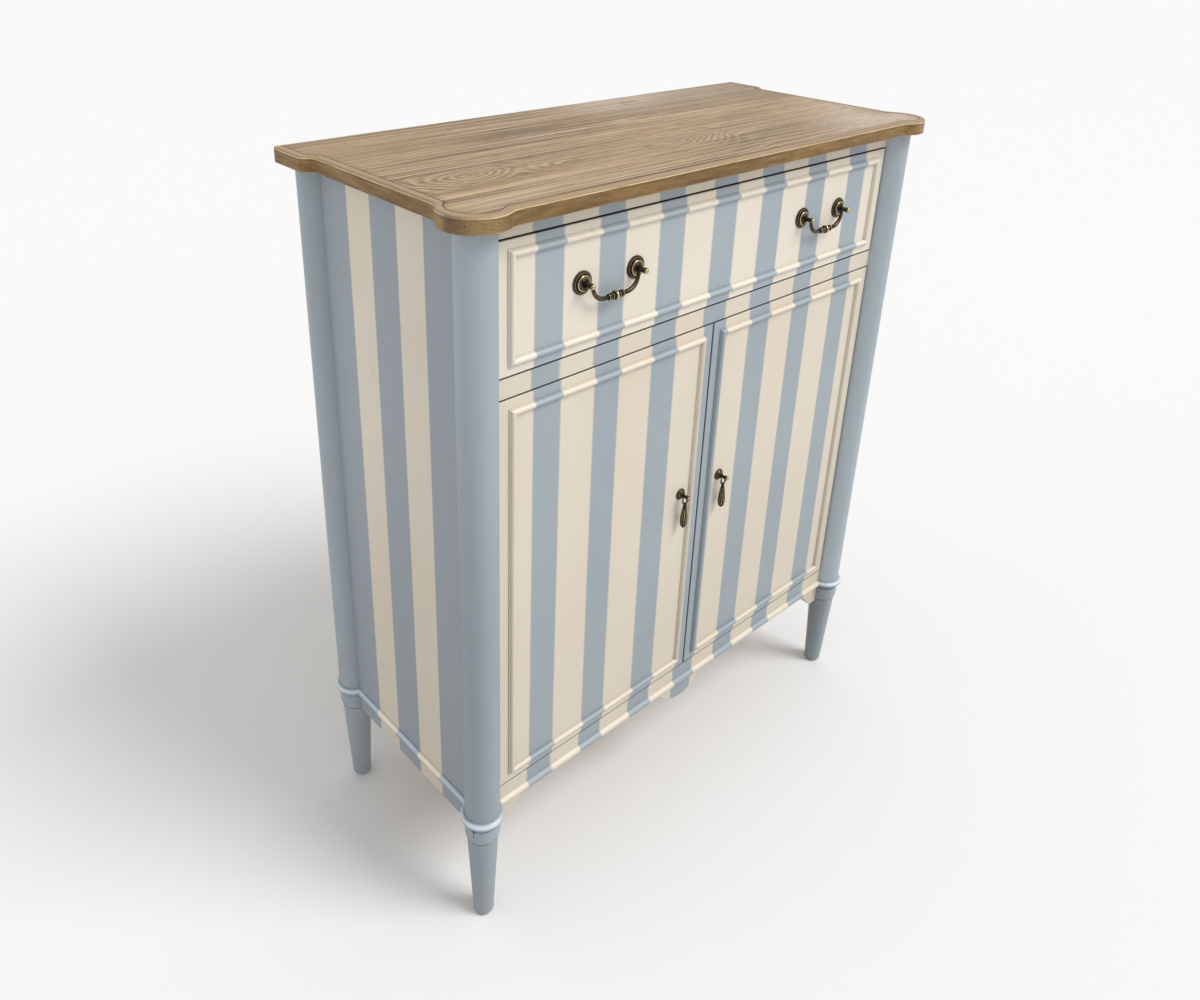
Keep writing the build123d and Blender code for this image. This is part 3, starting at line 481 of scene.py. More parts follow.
def oak_top(name):
    g = G(name)
    x, y = g.x, g.y - YC + (0.9 - g.z) * 0.9     # frame y, carried on round the rear edge
    slow = g.noise(g.vec(x * 4.2, y * 12.0, 0.0), 1.0, 2.0, 0.5) - 0.5
    mid = g.noise(g.vec(x * 14.0, y * 50.0, 0.3), 1.0, 2.0, 0.5) - 0.5
    fine = g.noise(g.vec(x * 60.0, y * 330.0, 1.7), 1.0, 2.0, 0.6) - 0.5
    # one flat-sawn figure along the middle of the front half: an eye at the left, then a
    # long oval that opens into chevrons pointing right; the lines straighten away from it
    yw = y + slow * 0.010 + mid * 0.0022
    oy = yw + 0.067
    fall = gauss(oy, 350.0)
    ex = x + 0.283
    ey = yw + 0.054
    ew = ex * fall * 0.50
    r1 = (ew * ew + ey * ey).sqrt() + ex.max(0.0) * fall * 0.10
    lw = (-0.170 - x).max(0.0) * fall * 0.40
    rise = (x + 0.070).max(0.0) * 0.12 + (x - 0.002).max(0.0) * 0.40 - (x - 0.078).max(0.0) * 0.40
    r2 = (oy * oy + lw * lw + 0.00000625).sqrt() + rise.min(0.050) * fall + 0.0035
    k = 0.010
    hh = ((r2 - r1) / k * 0.5 + 0.5).clamp()
    rho = r2 * (1.0 - hh) + r1 * hh - hh * (1.0 - hh) * k
    # weak swirls in the rear half
    for (ux, uy, ax, ay, amp) in ((0.018, 0.045, 0.050, 0.009, 0.010), (-0.235, 0.046, 0.060, 0.008, 0.007), (-0.07, 0.043, 0.040, 0.008, 0.006)):
        q = ((x - ux) / ax) * ((x - ux) / ax) + ((y - uy) / ay) * ((y - uy) / ay)
        rho = rho + (q * -1.0).exp() * amp
    rho = (rho + fine * 0.0010) / 0.0060
    rho = rho + (g.noise(g.vec(x * 2.4, y * 55.0, 17.0), 1.0, 2.0, 0.5) - 0.5) * 1.7     # uneven years
    t = rho.frac()
    ring = rho.floor()
    strength = g.noise(g.vec(ring * 3.71, x * 3.0, 9.0), 1.0, 2.0, 0.5).step(0.32, 0.60, 0.35, 1.0)
    near = gauss(y + 0.060, 1100.0) * (1.0 - x.step(0.09, 0.22)) * (x + 0.20).abs().step(0.02, 0.05, 0.6, 1.0)
    front = (1.0 - y.step(-0.150, -0.118)) * (1.0 - x.step(0.05, 0.26))
    rear = gauss(y - 0.045, 3500.0) * (1.0 - x.step(0.06, 0.14))
    contrast = (near + front * 0.8 + rear * 0.5).min(1.0) * 0.82 + 0.18
    dark = t.step(0.0, 0.10) * (1.0 - t.step(0.16, 0.50)) * strength * contrast
    pale = t.step(0.50, 0.72) * (1.0 - t.step(0.84, 1.0)) * contrast
    broad = g.noise(g.vec(x * 1.8, y * 10.0, 4.0), 1.0, 3.0, 0.55)
    patch = g.noise(g.vec(x * 7.0, y * 11.0, 14.0), 1.0, 2.0, 0.5)
    col = g.mix(broad.step(0.30, 0.70), OAK, OAK_DEEP)
    col = g.mix(patch.step(0.46, 0.72) * 0.35, col, OAK_PALE)
    # straight fibre: tone, thin dark lines and thin pale ones, calmer at the right and rear
    c1 = g.noise(g.vec(x * 1.6, y * 210.0, 21.0), 1.0, 2.0, 0.55)
    c2 = g.noise(g.vec(x * 5.0, y * 420.0, 22.0), 1.0, 2.0, 0.6)
    l1 = g.noise(g.vec(x * 2.6 + 3.0, y * 300.0, 24.0), 1.0, 1.0, 0.5).step(0.535, 0.65)
    l2 = g.noise(g.vec(x * 2.6 + 9.0, y * 240.0, 25.0), 1.0, 1.0, 0.5).step(0.535, 0.66)
    away = (1.0 - near * 0.60) * x.step(0.10, 0.24, 1.32, 0.62) * y.step(-0.02, 0.04, 1.0, 1.26)
    away = away * (1.0 - (1.0 - x.step(-0.26, -0.12)) * y.step(0.0, 0.06) * 0.52)
    col = g.tint(col, ((c1 - 0.5) * 1.60 + (c2 - 0.5) * 1.60) * away + 1.0)
    col = g.mix(l1 * away * 0.56, col, OAK_LINE)
    col = g.mix(l2 * away * 0.60, col, OAK_PALE)
    # tone over the leaf: front edge right of the middle darker, front left paler, rear right paler
    tone = 1.0 - gauss(y + 0.112, 1100.0) * x.step(-0.01, 0.07) * (1.0 - x.step(0.20, 0.30)) * 0.24
    tone = tone + gauss(y + 0.115, 700.0) * (1.0 - x.step(-0.14, -0.02)) * 0.11
    tone = tone + gauss(y - 0.070, 1100.0) * gauss(x - 0.075, 160.0) * 0.14
    tone = tone + gauss(y + 0.022, 1500.0) * gauss(x + 0.020, 90.0) * 0.15
    tone = tone - gauss(y + 0.020, 1200.0) * gauss(x - 0.175, 220.0) * 0.16
    tone = tone - gauss(y - 0.065, 1200.0) * x.step(0.22, 0.32) * 0.14
    tone = tone - gauss(y - 0.145, 1200.0) * gauss(x + 0.080, 60.0) * 0.10
    col = g.tint(col, tone)
    # darker smoky band through the rear third, greyer rear right, then painted sheen: paler and pinker near the rear
    # right edge and at the right end, with paler flecks there
    band = 1.0 - (y - 0.072 + slow * 0.05).abs().step(0.003, 0.030)
    band = band * x.step(-0.25, -0.16) * (1.0 - x.step(0.06, 0.30)) * g.noise(g.vec(x * 5.0, y * 40.0, 7.0), 1.0, 3.0).step(0.30, 0.55)
    col = g.mix(band * 0.60, col, lin((128, 107, 84), K))
    col = g.mix(x.step(-0.10, 0.20) * y.step(0.02, 0.12) * 0.40, col, lin((160, 145, 132), K))
    glow = ((x - 0.20) * 1.0 - (y + 0.05) * 1.2).step(0.0, 0.22) * g.noise(g.vec(x * 12.0, y * 16.0, 3.0), 1.0, 3.0, 0.6).step(0.18, 0.58)
    sheen = gauss(y - 0.150, 900.0) * gauss(x - 0.110, 120.0) * g.noise(g.vec(x * 14.0, y * 30.0, 8.0), 1.0, 3.0, 0.6).step(0.25, 0.60)
    col = g.mix(sheen * 0.75, col, OAK_PINK)
    col = g.mix(glow * 0.80, col, OAK_PINK)
    flake = g.noise(g.vec(x * 34.0 + y * 20.0, y * 90.0 - x * 30.0, 5.0), 1.0, 2.0, 0.6).step(0.54, 0.70)
    col = g.mix(flake * glow * 0.55, col, lin((226, 208, 192), K))
    eye = gauss(x + 0.283, 130.0)
    col = g.mix(dark * (0.72 - eye * 0.20), col, OAK_LINE)
    col = g.mix(pale * (0.56 - eye * 0.14), col, OAK_PALE)
    # finest fibre, then open pores: short dark dashes, thickest along the dark side of a ring
    fibre = g.noise(g.vec(x * 14.0, y * 620.0, 30.0), 1.0, 3.0, 0.65)
    col = g.tint(col, (fibre - 0.5) * 0.42 + 1.0)
    pore = g.noise(g.vec(x * 40.0, y * 800.0, 31.0), 1.0, 1.0, 0.4)
    pm = (pore + (1.0 - t.step(0.05, 0.50)) * contrast * 0.08).step(0.61, 0.72)
    col = g.mix(pm * 0.50, col, PORE)
    # dark joint where the leaf meets its edging, with glaze softening away from it
    border = leaf_border(g, g.y)
    broken = g.noise(g.vec(x * 40.0, y * 40.0, 12.0), 1.0, 2.0).step(0.30, 0.55, 0.55, 1.0)
    corner = x.abs().step(0.300, 0.335) * (1.0 - y.step(-0.105, -0.075))
    joint = (1.0 - border.step(0.0003, 0.0015)) * (broken + corner * 0.3).min(1.0)
    col = g.mix((1.0 - border.step(0.0, 0.012)) * (corner * 0.12 + 0.16), col, OAK_LINE)
    col = g.mix(joint * (corner * 0.12 + 0.76), col, lin((74, 55, 40), K))
    g.bump(pale * 0.4 - dark * 0.5 - pm * 0.9 + fibre * 0.45 - joint * 0.8 - l1 * 0.3, 0.00014, 0.9)
    return g.done(col, 0.56 - pale * 0.05 + pm * 0.1 + (broad - 0.5) * 0.14, spec=0.32)


def oak_edging(name, along):
    g = G(name)
    if along == "x":
        a, c = g.x, g.y
    else:
        a, c = g.y, g.x
    fibre = g.noise(g.vec(a * 12.0, c * 360.0, g.z * 620.0), 1.0, 3.0, 0.65)
    tone = g.noise(g.vec(a * 9.0, c * 60.0, g.z * 90.0), 1.0, 3.0, 0.6)
    col = g.mix(tone.step(0.34, 0.64), lin((120, 89, 44), K), lin((150, 116, 64), K))
    smear = g.noise(g.vec(a * 26.0, c * 40.0, g.z * 230.0), 1.0, 3.0, 0.65)
    col = g.mix(smear.step(0.50, 0.66) * 0.45, col, lin((104, 78, 44), K))
    col = g.mix((1.0 - smear.step(0.34, 0.46)) * 0.30, col, lin((176, 146, 98), K))
    # the bulges are lighter, the left half of the front is darker
    bulge = g.x.abs().step(0.330, 0.352) * (1.0 - g.y.step(0.006, 0.030))
    col = g.mix(bulge * 0.75, col, lin((165, 136, 90), K))
    if along == "x":
        shade = g.x.step(-0.05, 0.25, 0.90, 1.04) - gauss(g.x + 0.060, 60.0) * 0.10
    else:
        shade = g.y.step(0.02, 0.20, 0.97, 1.08)
    col = g.tint(col, ((fibre - 0.5) * 0.80 + 1.0) * shade)
    pore = g.noise(g.vec(a * 60.0, c * 800.0, g.z * 1000.0), 1.0, 1.0, 0.4)
    col = g.mix(pore.step(0.62, 0.71) * 0.5, col, lin((84, 62, 40), K))
    # the flat upper face takes the leaf's tone, with thin lines of its own grain
    up = g.z.step(0.89790, 0.89930)
    line = g.noise(g.vec(a * 3.0, c * 420.0, 3.0), 1.0, 1.0, 0.5).step(0.56, 0.72)
    flat = g.mix(line * 0.35, g.tint(lin((184, 157, 124), K), (fibre - 0.5) * 0.42 + 1.0), lin((120, 94, 66), K))
    col = g.mix(up * 0.88, col, flat)
    # dark joint against the leaf
    border = leaf_border(g, g.y)
    col = g.mix((1.0 - (border * -1.0).step(0.0001, 0.0010)) * up * 0.72, col, lin((74, 55, 40), K))
    # pale arris, partly rubbed wear and partly a painted highlight along the rounded edge, broken by noise
    rub = g.noise(g.vec(g.x * 24.0, g.y * 24.0, g.z * 90.0), 1.0, 3.0, 0.6)
    arris = 1.0 - (g.z - 0.89760 + (rub - 0.5) * 0.0010).abs().step(0.0002, 0.00100)
    col = g.mix(arris * rub.step(0.28, 0.55, 0.45, 0.95), col, lin((236, 212, 170), K))
    beneath = 1.0 - (g.z - 0.89570 + (rub - 0.5) * 0.0012).abs().step(0.0002, 0.0010)
    col = g.mix(beneath * rub.step(0.35, 0.60, 0.10, 0.40), col, lin((92, 68, 40), K))
    low = 1.0 - (g.z - 0.8834).abs().step(0.0001, 0.0008)
    col = g.mix(low * rub.step(0.4, 0.6) * 0.40, col, lin((190, 162, 122), K))
    # darker in the hollows beside each bulge, and dark specks under the arris
    hollow = 0.0
    for bx in (-0.345, 0.345):
        hollow = hollow + (1.0 - ((g.x - bx).abs() - 0.0395).abs().step(0.004, 0.017)) * (1.0 - g.y.step(-0.004, 0.004)) * (1.0 - g.y.step(-0.0235, -0.0215, 1.0, 0.0))
    col = g.mix(hollow * 0.66 * (1.0 - up), col, lin((94, 70, 40), K))
    sp = g.cells(g.vec(g.x, g.y, g.z * 1.5), 190.0)
    where = g.noise(g.vec(g.x * 30.0, g.y * 30.0, g.z * 30.0), 1.0, 2.0)
    corner = (g.x.abs()).step(0.318, 0.340) * (1.0 - g.y.step(0.010, 0.040))
    speck = (1.0 - sp.step(0.05, 0.28)) * (where + corner * 0.15).step(0.54, 0.61)
    speck = speck * (1.0 - g.z.step(0.8958, 0.8970)) * g.z.step(0.8875, 0.8905, 0.35, 1.0)
    col = g.mix(speck * 0.85, col, lin((48, 36, 24), K))
    g.bump(fibre * 0.6 - speck * 1.4 - pore.step(0.62, 0.71), 0.00014, 0.9)
    return g.done(col, 0.52 - arris * 0.08 + (fibre - 0.5) * 0.15, spec=0.35)


# =============================================================== metals, plastic
def old_brass(name):
    g = G(name)
    w = g.attr("wear")
    n1 = g.noise(g.vec(g.x, g.y, g.z), 380.0, 4.0, 0.65)
    n2 = g.noise(g.vec(g.x, g.y, g.z), 1900.0, 3.0, 0.6)
    deep = g.ao(0.0022, 6)
    f = (w + (n1 - 0.5) * 0.55 + (n2 - 0.5) * 0.25 - (1.0 - deep) * 0.85).step(0.12, 1.0)
    dark = (0.006, 0.0045, 0.003, 1.0)
    mid = (0.078, 0.056, 0.027, 1.0)
    crest = (0.560, 0.440, 0.250, 1.0)
    col = g.mix(f.step(0.50, 1.0), g.mix(f.step(0.08, 0.60), dark, mid), crest)
    g.bump(n2 * 0.5 + n1 * 0.6, 0.00010, 0.6)
    return g.done(col, 0.42 - f * 0.20 + (n2 - 0.5) * 0.12, metallic=f * 0.30 + 0.66, spec=0.5)


def steel(name, base=(0.42, 0.41, 0.39)):
    g = G(name)
    n1 = g.noise(g.vec(g.x, g.y, g.z), 300.0, 3.0, 0.6)
    n2 = g.noise(g.vec(g.x * 2200.0, g.y * 300.0, g.z * 300.0), 1.0, 2.0, 0.6)
    a = (base[0], base[1], base[2], 1.0)
    b = (base[0] * 0.62, base[1] * 0.60, base[2] * 0.56, 1.0)
    col = g.mix(n1.step(0.35, 0.7), a, b)
    g.bump(n2, 0.00006, 0.6)
    return g.done(col, 0.30 + n1 * 0.18, metallic=0.95)


def plastic(name, base):
    g = G(name)
    n = g.noise(g.vec(g.x, g.y, g.z), 1400.0, 3.0, 0.6)
    dust = g.noise(g.vec(g.x, g.y, g.z), 90.0, 3.0, 0.6)
    b = (base[0], base[1], base[2], 1.0)
    col = g.mix(dust.step(0.45, 0.75) * 0.35, b, (base[0] + 0.06, base[1] + 0.06, base[2] + 0.055, 1.0))
    g.bump(n, 0.00008, 0.7)
    return g.done(col, 0.48 + (dust - 0.5) * 0.2)


def timber(name, along, base=RAW, rough=0.62):
    g = G(name)
    col, fine = raw_wood(g, along, base)
    pore = g.noise(g.vec(g.x * (30 if along == "x" else 700), g.y * (30 if along == "y" else 700), g.z * (30 if along == "z" else 700)), 1.0, 1.0)
    pm = pore.step(0.66, 0.74)
    col = g.mix(pm * 0.35, col, (base[0] * 0.35, base[1] * 0.3, base[2] * 0.25, 1.0))
    g.bump(fine * 0.7 - pm * 0.6, 0.00015, 0.7)
    return g.done(col, (fine - 0.5) * 0.2 + rough, spec=0.35)


def ply(name, face, thin):
    """Plywood: face veneer, with its layers showing on edges across the thin axis."""
    g = G(name)
    col, fine = raw_wood(g, face, lin((205, 181, 142), K))
    t = {"x": g.x, "y": g.y, "z": g.z}[thin]
    layer = ((t * 900.0).frac() - 0.5).abs().step(0.20, 0.30)
    col = g.tint(col, 0.94 + layer * 0.06)
    blot = g.noise(g.vec(g.x * 4.0, g.y * 4.0, g.z * 4.0), 1.0, 3.0)
    col = g.tint(col, (blot - 0.5) * 0.16 + 1.0)
    g.bump(fine, 0.00012, 0.7)
    return g.done(col, (blot - 0.5) * 0.2 + 0.60, spec=0.35)


# up and down give painted light and shade on upward and downward faces; crest gives the side beads a painted highlight
M = {
    "front": front_stripes("paint_front", back=0.0172),
    "moulding": front_stripes("paint_moulding", up=0.30, down=0.22),
    "drawer": front_stripes("paint_drawer", back=0.0172, level=1.085, cream=DRAWER_CREAM),
    "drawer_mould": front_stripes("paint_drawer_moulding", level=1.085, cream=DRAWER_CREAM, up=0.24, down=0.22),
    "rail": front_stripes("paint_rail", shift=-2.5, back=0.0105, level=0.985, up=0.36, down=0.28),
    "apron": front_stripes("paint_apron", shift=-2.5, back=0.0160, level=0.97),
    "side": side_stripes("paint_side"),
    "side_bead": side_stripes("paint_side_bead", inner=False, up=0.20, down=0.30, crest=0.88),
    "post": blue_paint("paint_post"),
    "leg": blue_paint("paint_leg", leg=True),
    "oak": oak_top("oak_leaf"),
    "edge_x": oak_edging("oak_edging_front", "x"),
    "edge_y": oak_edging("oak_edging_side", "y"),
    "wood_x": timber("timber_x", "x"),
    "wood_y": timber("timber_y", "y"),
    "wood_z": timber("timber_z", "z"),
    "shelf": timber("timber_shelf", "x", lin((205, 179, 140), K), 0.5),
    "box": timber("timber_box", "y", lin((214, 190, 152), K), 0.6),
    "box_x": timber("timber_box_x", "x", lin((214, 190, 152), K), 0.6),
    "ply_back": ply("ply_back", "z", "y"),
    "ply_x": ply("ply_x", "x", "z"),
    "brass": old_brass("old_brass"),
    "steel": steel("zinc_steel"),
    "bush": steel("bush_brass", (0.52, 0.40, 0.19)),
    "catch": plastic("catch_plastic", (0.30, 0.22, 0.15)),
    "glide": plastic("glide_plastic", (0.035, 0.035, 0.036)),
}

USE = {
    "top_board": "oak", "top_edge_front": "edge_x", "top_edge_left": "edge_y", "top_edge_right": "edge_y",
    "post_front_left": "post", "post_front_right": "post", "post_rear_left": "post", "post_rear_right": "post",
    "leg_front_left": "leg", "leg_front_right": "leg", "leg_rear_left": "leg", "leg_rear_right": "leg",
    "leg_bolts": "steel", "foot_glides": "glide", "shelf_pins": "steel",
    "side_panel_left": "side", "side_panel_right": "side", "back_panel": "ply_back",
    "bottom_panel": "ply_x", "shelf": "shelf",
    "top_rail": "rail", "mid_rail": "rail", "bottom_rail": "rail",
    "rear_top_rail": "wood_x", "rear_bottom_rail": "wood_x",
    "top_screws": "steel", "pivot_plates": "steel", "pivot_plate_screws": "steel",
    "front_bead": "rail", "side_bead_left": "side_bead", "side_bead_right": "side_bead",
    "apron_brackets": "apron", "apron_drop": "apron",
    "drawer_runners": "wood_y", "drawer_kickers": "wood_y", "drawer_stops": "wood_x", "dust_panel": "ply_x",
    "door_catches": "catch",
    "drawer_front": "drawer", "drawer_moulding": "drawer_mould",
    "drawer_side_left": "box", "drawer_side_right": "box", "drawer_back": "box_x", "drawer_bottom": "ply_x",
    "pull_posts": "brass", "pull_screws": "steel", "bail_left": "brass", "bail_right": "brass",
}
for s in ("left", "right"):
    USE["door_%s_panel" % s] = "front"
    USE["door_%s_moulding" % s] = "moulding"
    USE["door_%s_bushes" % s] = "bush"
    USE["door_%s_strike" % s] = "steel"
    USE["door_%s_knob" % s] = "brass"
    USE["door_%s_pendant" % s] = "brass"
for node, o in N.items():
    mat = M[USE[node]]
    if not o.material_slots:
        o.data.materials.append(mat)
    for q in o.material_slots:
        q.material = mat


# =============================================================== hardware meshes
def mesh_object(name, verts, faces, wear, mat):
    me = bpy.data.meshes.new(name)
    me.from_pydata(verts, [], faces)
    me.validate()
    a = me.attributes.new("wear", "FLOAT", "POINT")
    a.data.foreach_set("value", wear[:len(me.vertices)])
    for p in me.polygons:
        p.use_smooth = True
    me.materials.append(mat)
    o = bpy.data.objects.new(name, me)
    scene.collection.objects.link(o)
    return o


def arc(r0, h0, rad, a0, a1, n=7, w0=0.1, w1=0.9, rope=0.0, twist=0.0):
    """Points of a small bead on a turned profile; wear and rope peak in its middle."""
    out = []
    for i in range(n + 1):
        t = i / n
        a = math.radians(a0 + (a1 - a0) * t)
        k = math.sin(math.pi * t)
        out.append((r0 + rad * math.cos(a), h0 + rad * math.sin(a), w0 + (w1 - w0) * k ** 2.4, rope * k, twist * (t - 0.5)))
    return out


def lathe(profile, segs=96, lobes=40):
    """Turned form about +h. profile: (radius, height, wear, rope depth, rope twist)."""
    verts, faces, wear = [], [], []
    n = len(profile)
    for i, p in enumerate(profile):
        r, h, w = p[0], p[1], p[2]
        rope = p[3] if len(p) > 3 else 0.0
        tw = p[4] if len(p) > 4 else 0.0
        for k in range(segs):
            a = 2 * math.pi * k / segs
            c = math.cos(lobes * a + tw)
            rr = r + rope * 0.5 * (c - 1.0)
            hh = h + rope * 0.5 * (c - 1.0)
            verts.append((rr * math.cos(a), rr * math.sin(a), hh))
            wear.append(max(0.0, w + (0.25 * c if rope else 0.0) - (0.15 if rope else 0.0)))
    for i in range(n - 1):
        for k in range(segs):
            a, b = i * segs + k, i * segs + (k + 1) % segs
            faces.append((a, b, b + segs, a + segs))
    faces.append(tuple(range(segs))[::-1])
    faces.append(tuple((n - 1) * segs + k for k in range(segs)))
    return verts, faces, wear


def face_front(verts, x, y, z):
    """Turned form about +h to one that stands out towards the front from x, y, z. Millimetres to metres."""
    return [((x + p[0]) / 1000.0, (y - p[2]) / 1000.0, (z + p[1]) / 1000.0) for p in verts]


def bored(obj, at, radius, half):
    """Cut a small hole along X through a piece, so that a pin can pass through it."""
    vs, fs = [], []
    m = 28
    for e in (-1, 1):
        for k in range(m):
            a = 2 * math.pi * k / m
            vs.append((at[0] + e * half, at[1] + radius * math.cos(a), at[2] + radius * math.sin(a)))
    for k in range(m):
        fs.append((k, (k + 1) % m, m + (k + 1) % m, m + k))
    fs.append(tuple(range(m))[::-1])
    fs.append(tuple(range(m, 2 * m)))
    me = bpy.data.meshes.new("bore")
    me.from_pydata(vs, [], fs)
    me.validate()
    import bmesh
    bm = bmesh.new()
    bm.from_mesh(me)
    bmesh.ops.recalc_face_normals(bm, faces=bm.faces)
    bm.to_mesh(me)
    bm.free()
    cutter = bpy.data.objects.new("bore", me)
    scene.collection.objects.link(cutter)
    mod = obj.modifiers.new("bore", "BOOLEAN")
    mod.operation = "DIFFERENCE"
    mod.solver = "EXACT"
    mod.object = cutter
    dg = bpy.context.evaluated_depsgraph_get()
    new = bpy.data.meshes.new_from_object(obj.evaluated_get(dg))
    obj.modifiers.remove(mod)
    old = obj.data
    obj.data = new
    bpy.data.meshes.remove(old)
    bpy.data.objects.remove(cutter)
    bpy.data.meshes.remove(me)
    for p in obj.data.polygons:
        p.use_smooth = True
    return obj


def recalc(obj):
    import bmesh
    bm = bmesh.new()
    bm.from_mesh(obj.data)
    bmesh.ops.recalc_face_normals(bm, faces=bm.faces)
    bm.to_mesh(obj.data)
    bm.free()


PULLS, PULL_Z, PULL_HALF, BAIL_Y = (-178.0, 190.0), 798.5, 38.0, -10.6
KNOB_X, KNOB_Z, DROP_Y = 36.5, 478.0, -9.0
FY = -YC * 1000.0                  # frame y of the faces of the doors, mm


def rosette_profile():
    p = [(0.05, 0.02, 0.0), (12.7, 0.02, 0.0), (12.75, 0.35, 0.05)]
    p += arc(12.00, 0.95, 0.78, -10, 160, 10, 0.0, 0.78, 0.30, 1.5)
    p += [(11.15, 0.60, 0.0), (11.05, 1.00, 0.0)]
    p += arc(10.55, 1.75, 0.56, -20, 165, 10, 0.0, 0.95, 0.18, 1.5)
    p += [(9.95, 1.20, 0.0), (9.85, 1.55, 0.0)]
    p += arc(9.40, 2.20, 0.50, -10, 165, 8, 0.0, 0.60)
    p += [(8.88, 1.60, 0.0), (8.86, 2.0, 0.0)]
    p += arc(7.65, 3.05, 1.20, -25, 172, 16, 0.10, 1.05)
    p += [(6.42, 2.10, 0.0), (6.35, 2.90, 0.0)]
    p += arc(5.60, 3.70, 0.80, -15, 165, 8, 0.0, 0.80)
    p += [(4.78, 3.10, 0.0), (4.70, 3.80, 0.0)]
    p += arc(4.05, 4.55, 0.70, -15, 140, 7, 0.0, 0.62)
    p += [(3.45, 4.6, 0.0), (3.25, 5.1, 0.05), (2.85, 5.7, 0.2), (2.66, 6.6, 0.40), (2.62, 8.0, 0.50), (2.62, 11.2, 0.50), (2.66, 12.2, 0.30)]
    p += [(2.95, 12.45, 0.75), (3.00, 12.8, 0.75), (2.60, 13.1, 0.0)]
    p += [(3.40 * math.cos(math.radians(a)), 15.35 + 3.40 * math.sin(math.radians(a)), 0.35 + 0.65 * (a + 38) / 128.0)
          for a in range(-38, 90, 8)]
    p += [(0.05, 18.75, 0.95)]
    return p


def knob_profile():
    p = [(0.05, 0.02, 0.1), (7.45, 0.02, 0.2), (7.55, 0.5, 0.35)]
    p += arc(7.0, 0.85, 0.55, -20, 140, 7, 0.2, 0.8)
    p += [(6.35, 1.25, 0.05)]
    p += [(6.20, 1.75, 0.35), (5.75, 2.55, 0.6), (5.05, 3.25, 0.6), (4.35, 3.75, 0.45), (4.05, 3.95, 0.1)]
    p += arc(3.55, 4.30, 0.50, -30, 140, 6, 0.1, 0.75)
    p += [(2.80, 4.75, 0.1), (2.40, 5.3, 0.2), (2.15, 6.2, 0.35), (2.12, 8.0, 0.4), (2.12, 10.3, 0.4), (2.2, 11.1, 0.2)]
    p += [(3.05 * math.cos(math.radians(a)), 13.5 + 3.05 * math.sin(math.radians(a)), 0.4 + 0.5 * (a + 44) / 134.0)
          for a in range(-44, 90, 9)]
    p += [(0.05, 16.55, 0.9)]
    return p


def rail_path(pts, n=14):
    """Smooth interpolation through a few points (Catmull-Rom), as a list of (x, z)."""
    q = [pts[0]] + list(pts) + [pts[-1]]
    out = []
    for i in range(1, len(q) - 2):
        p0, p1, p2, p3 = q[i - 1], q[i], q[i + 1], q[i + 2]
        for k in range(n):
            t = k / n
            out.append(tuple(
                0.5 * ((2 * p1[j]) + (-p0[j] + p2[j]) * t + (2 * p0[j] - 5 * p1[j] + 4 * p2[j] - p3[j]) * t * t
                       + (-p0[j] + 3 * p1[j] - 3 * p2[j] + p3[j]) * t ** 3) for j in range(len(p1))))
    out.append(tuple(pts[-1]))
    return out


def bail_mesh(name, cx, body, node):
    # half of the centre line: x from the middle, z from the pivot, radius, wear
    half = [(42.2, 0.0, 1.55, 0.2), (40.0, 0.0, 1.55, 0.2), (36.6, 0.0, 1.55, 0.15), (34.3, -0.30, 1.80, 0.30), (32.75, -1.9, 1.90, 0.45),
            (32.0, -6.2, 2.05, 0.52), (30.3, -10.6, 2.25, 0.56), (27.5, -14.1, 2.45, 0.58), (23.9, -16.8, 2.60, 0.58),
            (19.7, -18.5, 2.58, 0.55), (15.6, -19.0, 2.42, 0.48), (12.6, -19.0, 2.25, 0.30)]
    smooth = rail_path(half, 10)
    turned = []

    def bead(c, half_w, r, crest, w0=0.05, w1=0.95, n=6):
        for i in range(n + 1):
            t = i / n
            turned.append((c + half_w - 2 * half_w * t, -19.0, r + (crest - r) * math.sin(math.pi * t), w0 + (w1 - w0) * math.sin(math.pi * t)))

    turned.append((11.2, -19.0, 2.30, 0.3))
    bead(10.3, 0.62, 2.45, 3.75)
    turned.append((9.55, -19.0, 2.45, 0.0))
    bead(8.75, 0.62, 2.50, 4.05)
    turned.append((8.0, -19.0, 2.55, 0.0))
    turned += [(7.6, -19.0, 2.95, 0.3), (6.6, -19.0, 3.15, 0.4), (5.7, -19.0, 2.95, 0.2)]
    bead(5.0, 0.60, 2.75, 3.95)
    turned.append((4.3, -19.0, 2.75, 0.0))
    turned += [(3.7, -19.0, 3.0, 0.05), (3.2, -19.0, 3.2, 0.05)]
    for i in range(0, 9):
        t = i / 16.0
        turned.append((2.75 - 5.5 * t, -19.0, 3.3 + 2.1 * math.sin(math.pi * t) ** 0.7, 0.15 + 0.85 * math.sin(math.pi * t)))
    side = smooth + turned
    st = [(x, z, r, w) for x, z, r, w in side]
    st += [(-x, z, r, w) for x, z, r, w in side[::-1][1:]]
    segs = 28
    verts, faces, wear = [], [], []
    n = len(st)
    for i, (x, z, r, w) in enumerate(st):
        a, b = st[max(0, i - 1)], st[min(n - 1, i + 1)]
        tx, tz = b[0] - a[0], b[1] - a[1]
        L = math.hypot(tx, tz) or 1.0
        tx, tz = tx / L, tz / L
        nx, nz = -tz, tx
        for k in range(segs):
            t = 2 * math.pi * k / segs
            verts.append(((cx + x + r * math.cos(t) * nx) / 1000.0,
                          (FY + BAIL_Y + r * math.sin(t)) / 1000.0,
                          (PULL_Z + z + r * math.cos(t) * nz) / 1000.0))
            wear.append(w)
    for i in range(n - 1):
        for k in range(segs):
            a, b = i * segs + k, i * segs + (k + 1) % segs
            faces.append((a, b, b + segs, a + segs))
    faces.append(tuple(range(segs))[::-1])
    faces.append(tuple((n - 1) * segs + k for k in range(segs)))
    o = mesh_object(name, verts, faces, wear, M["brass"])
    recalc(o)
    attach(o, body)
    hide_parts(node)
    return o


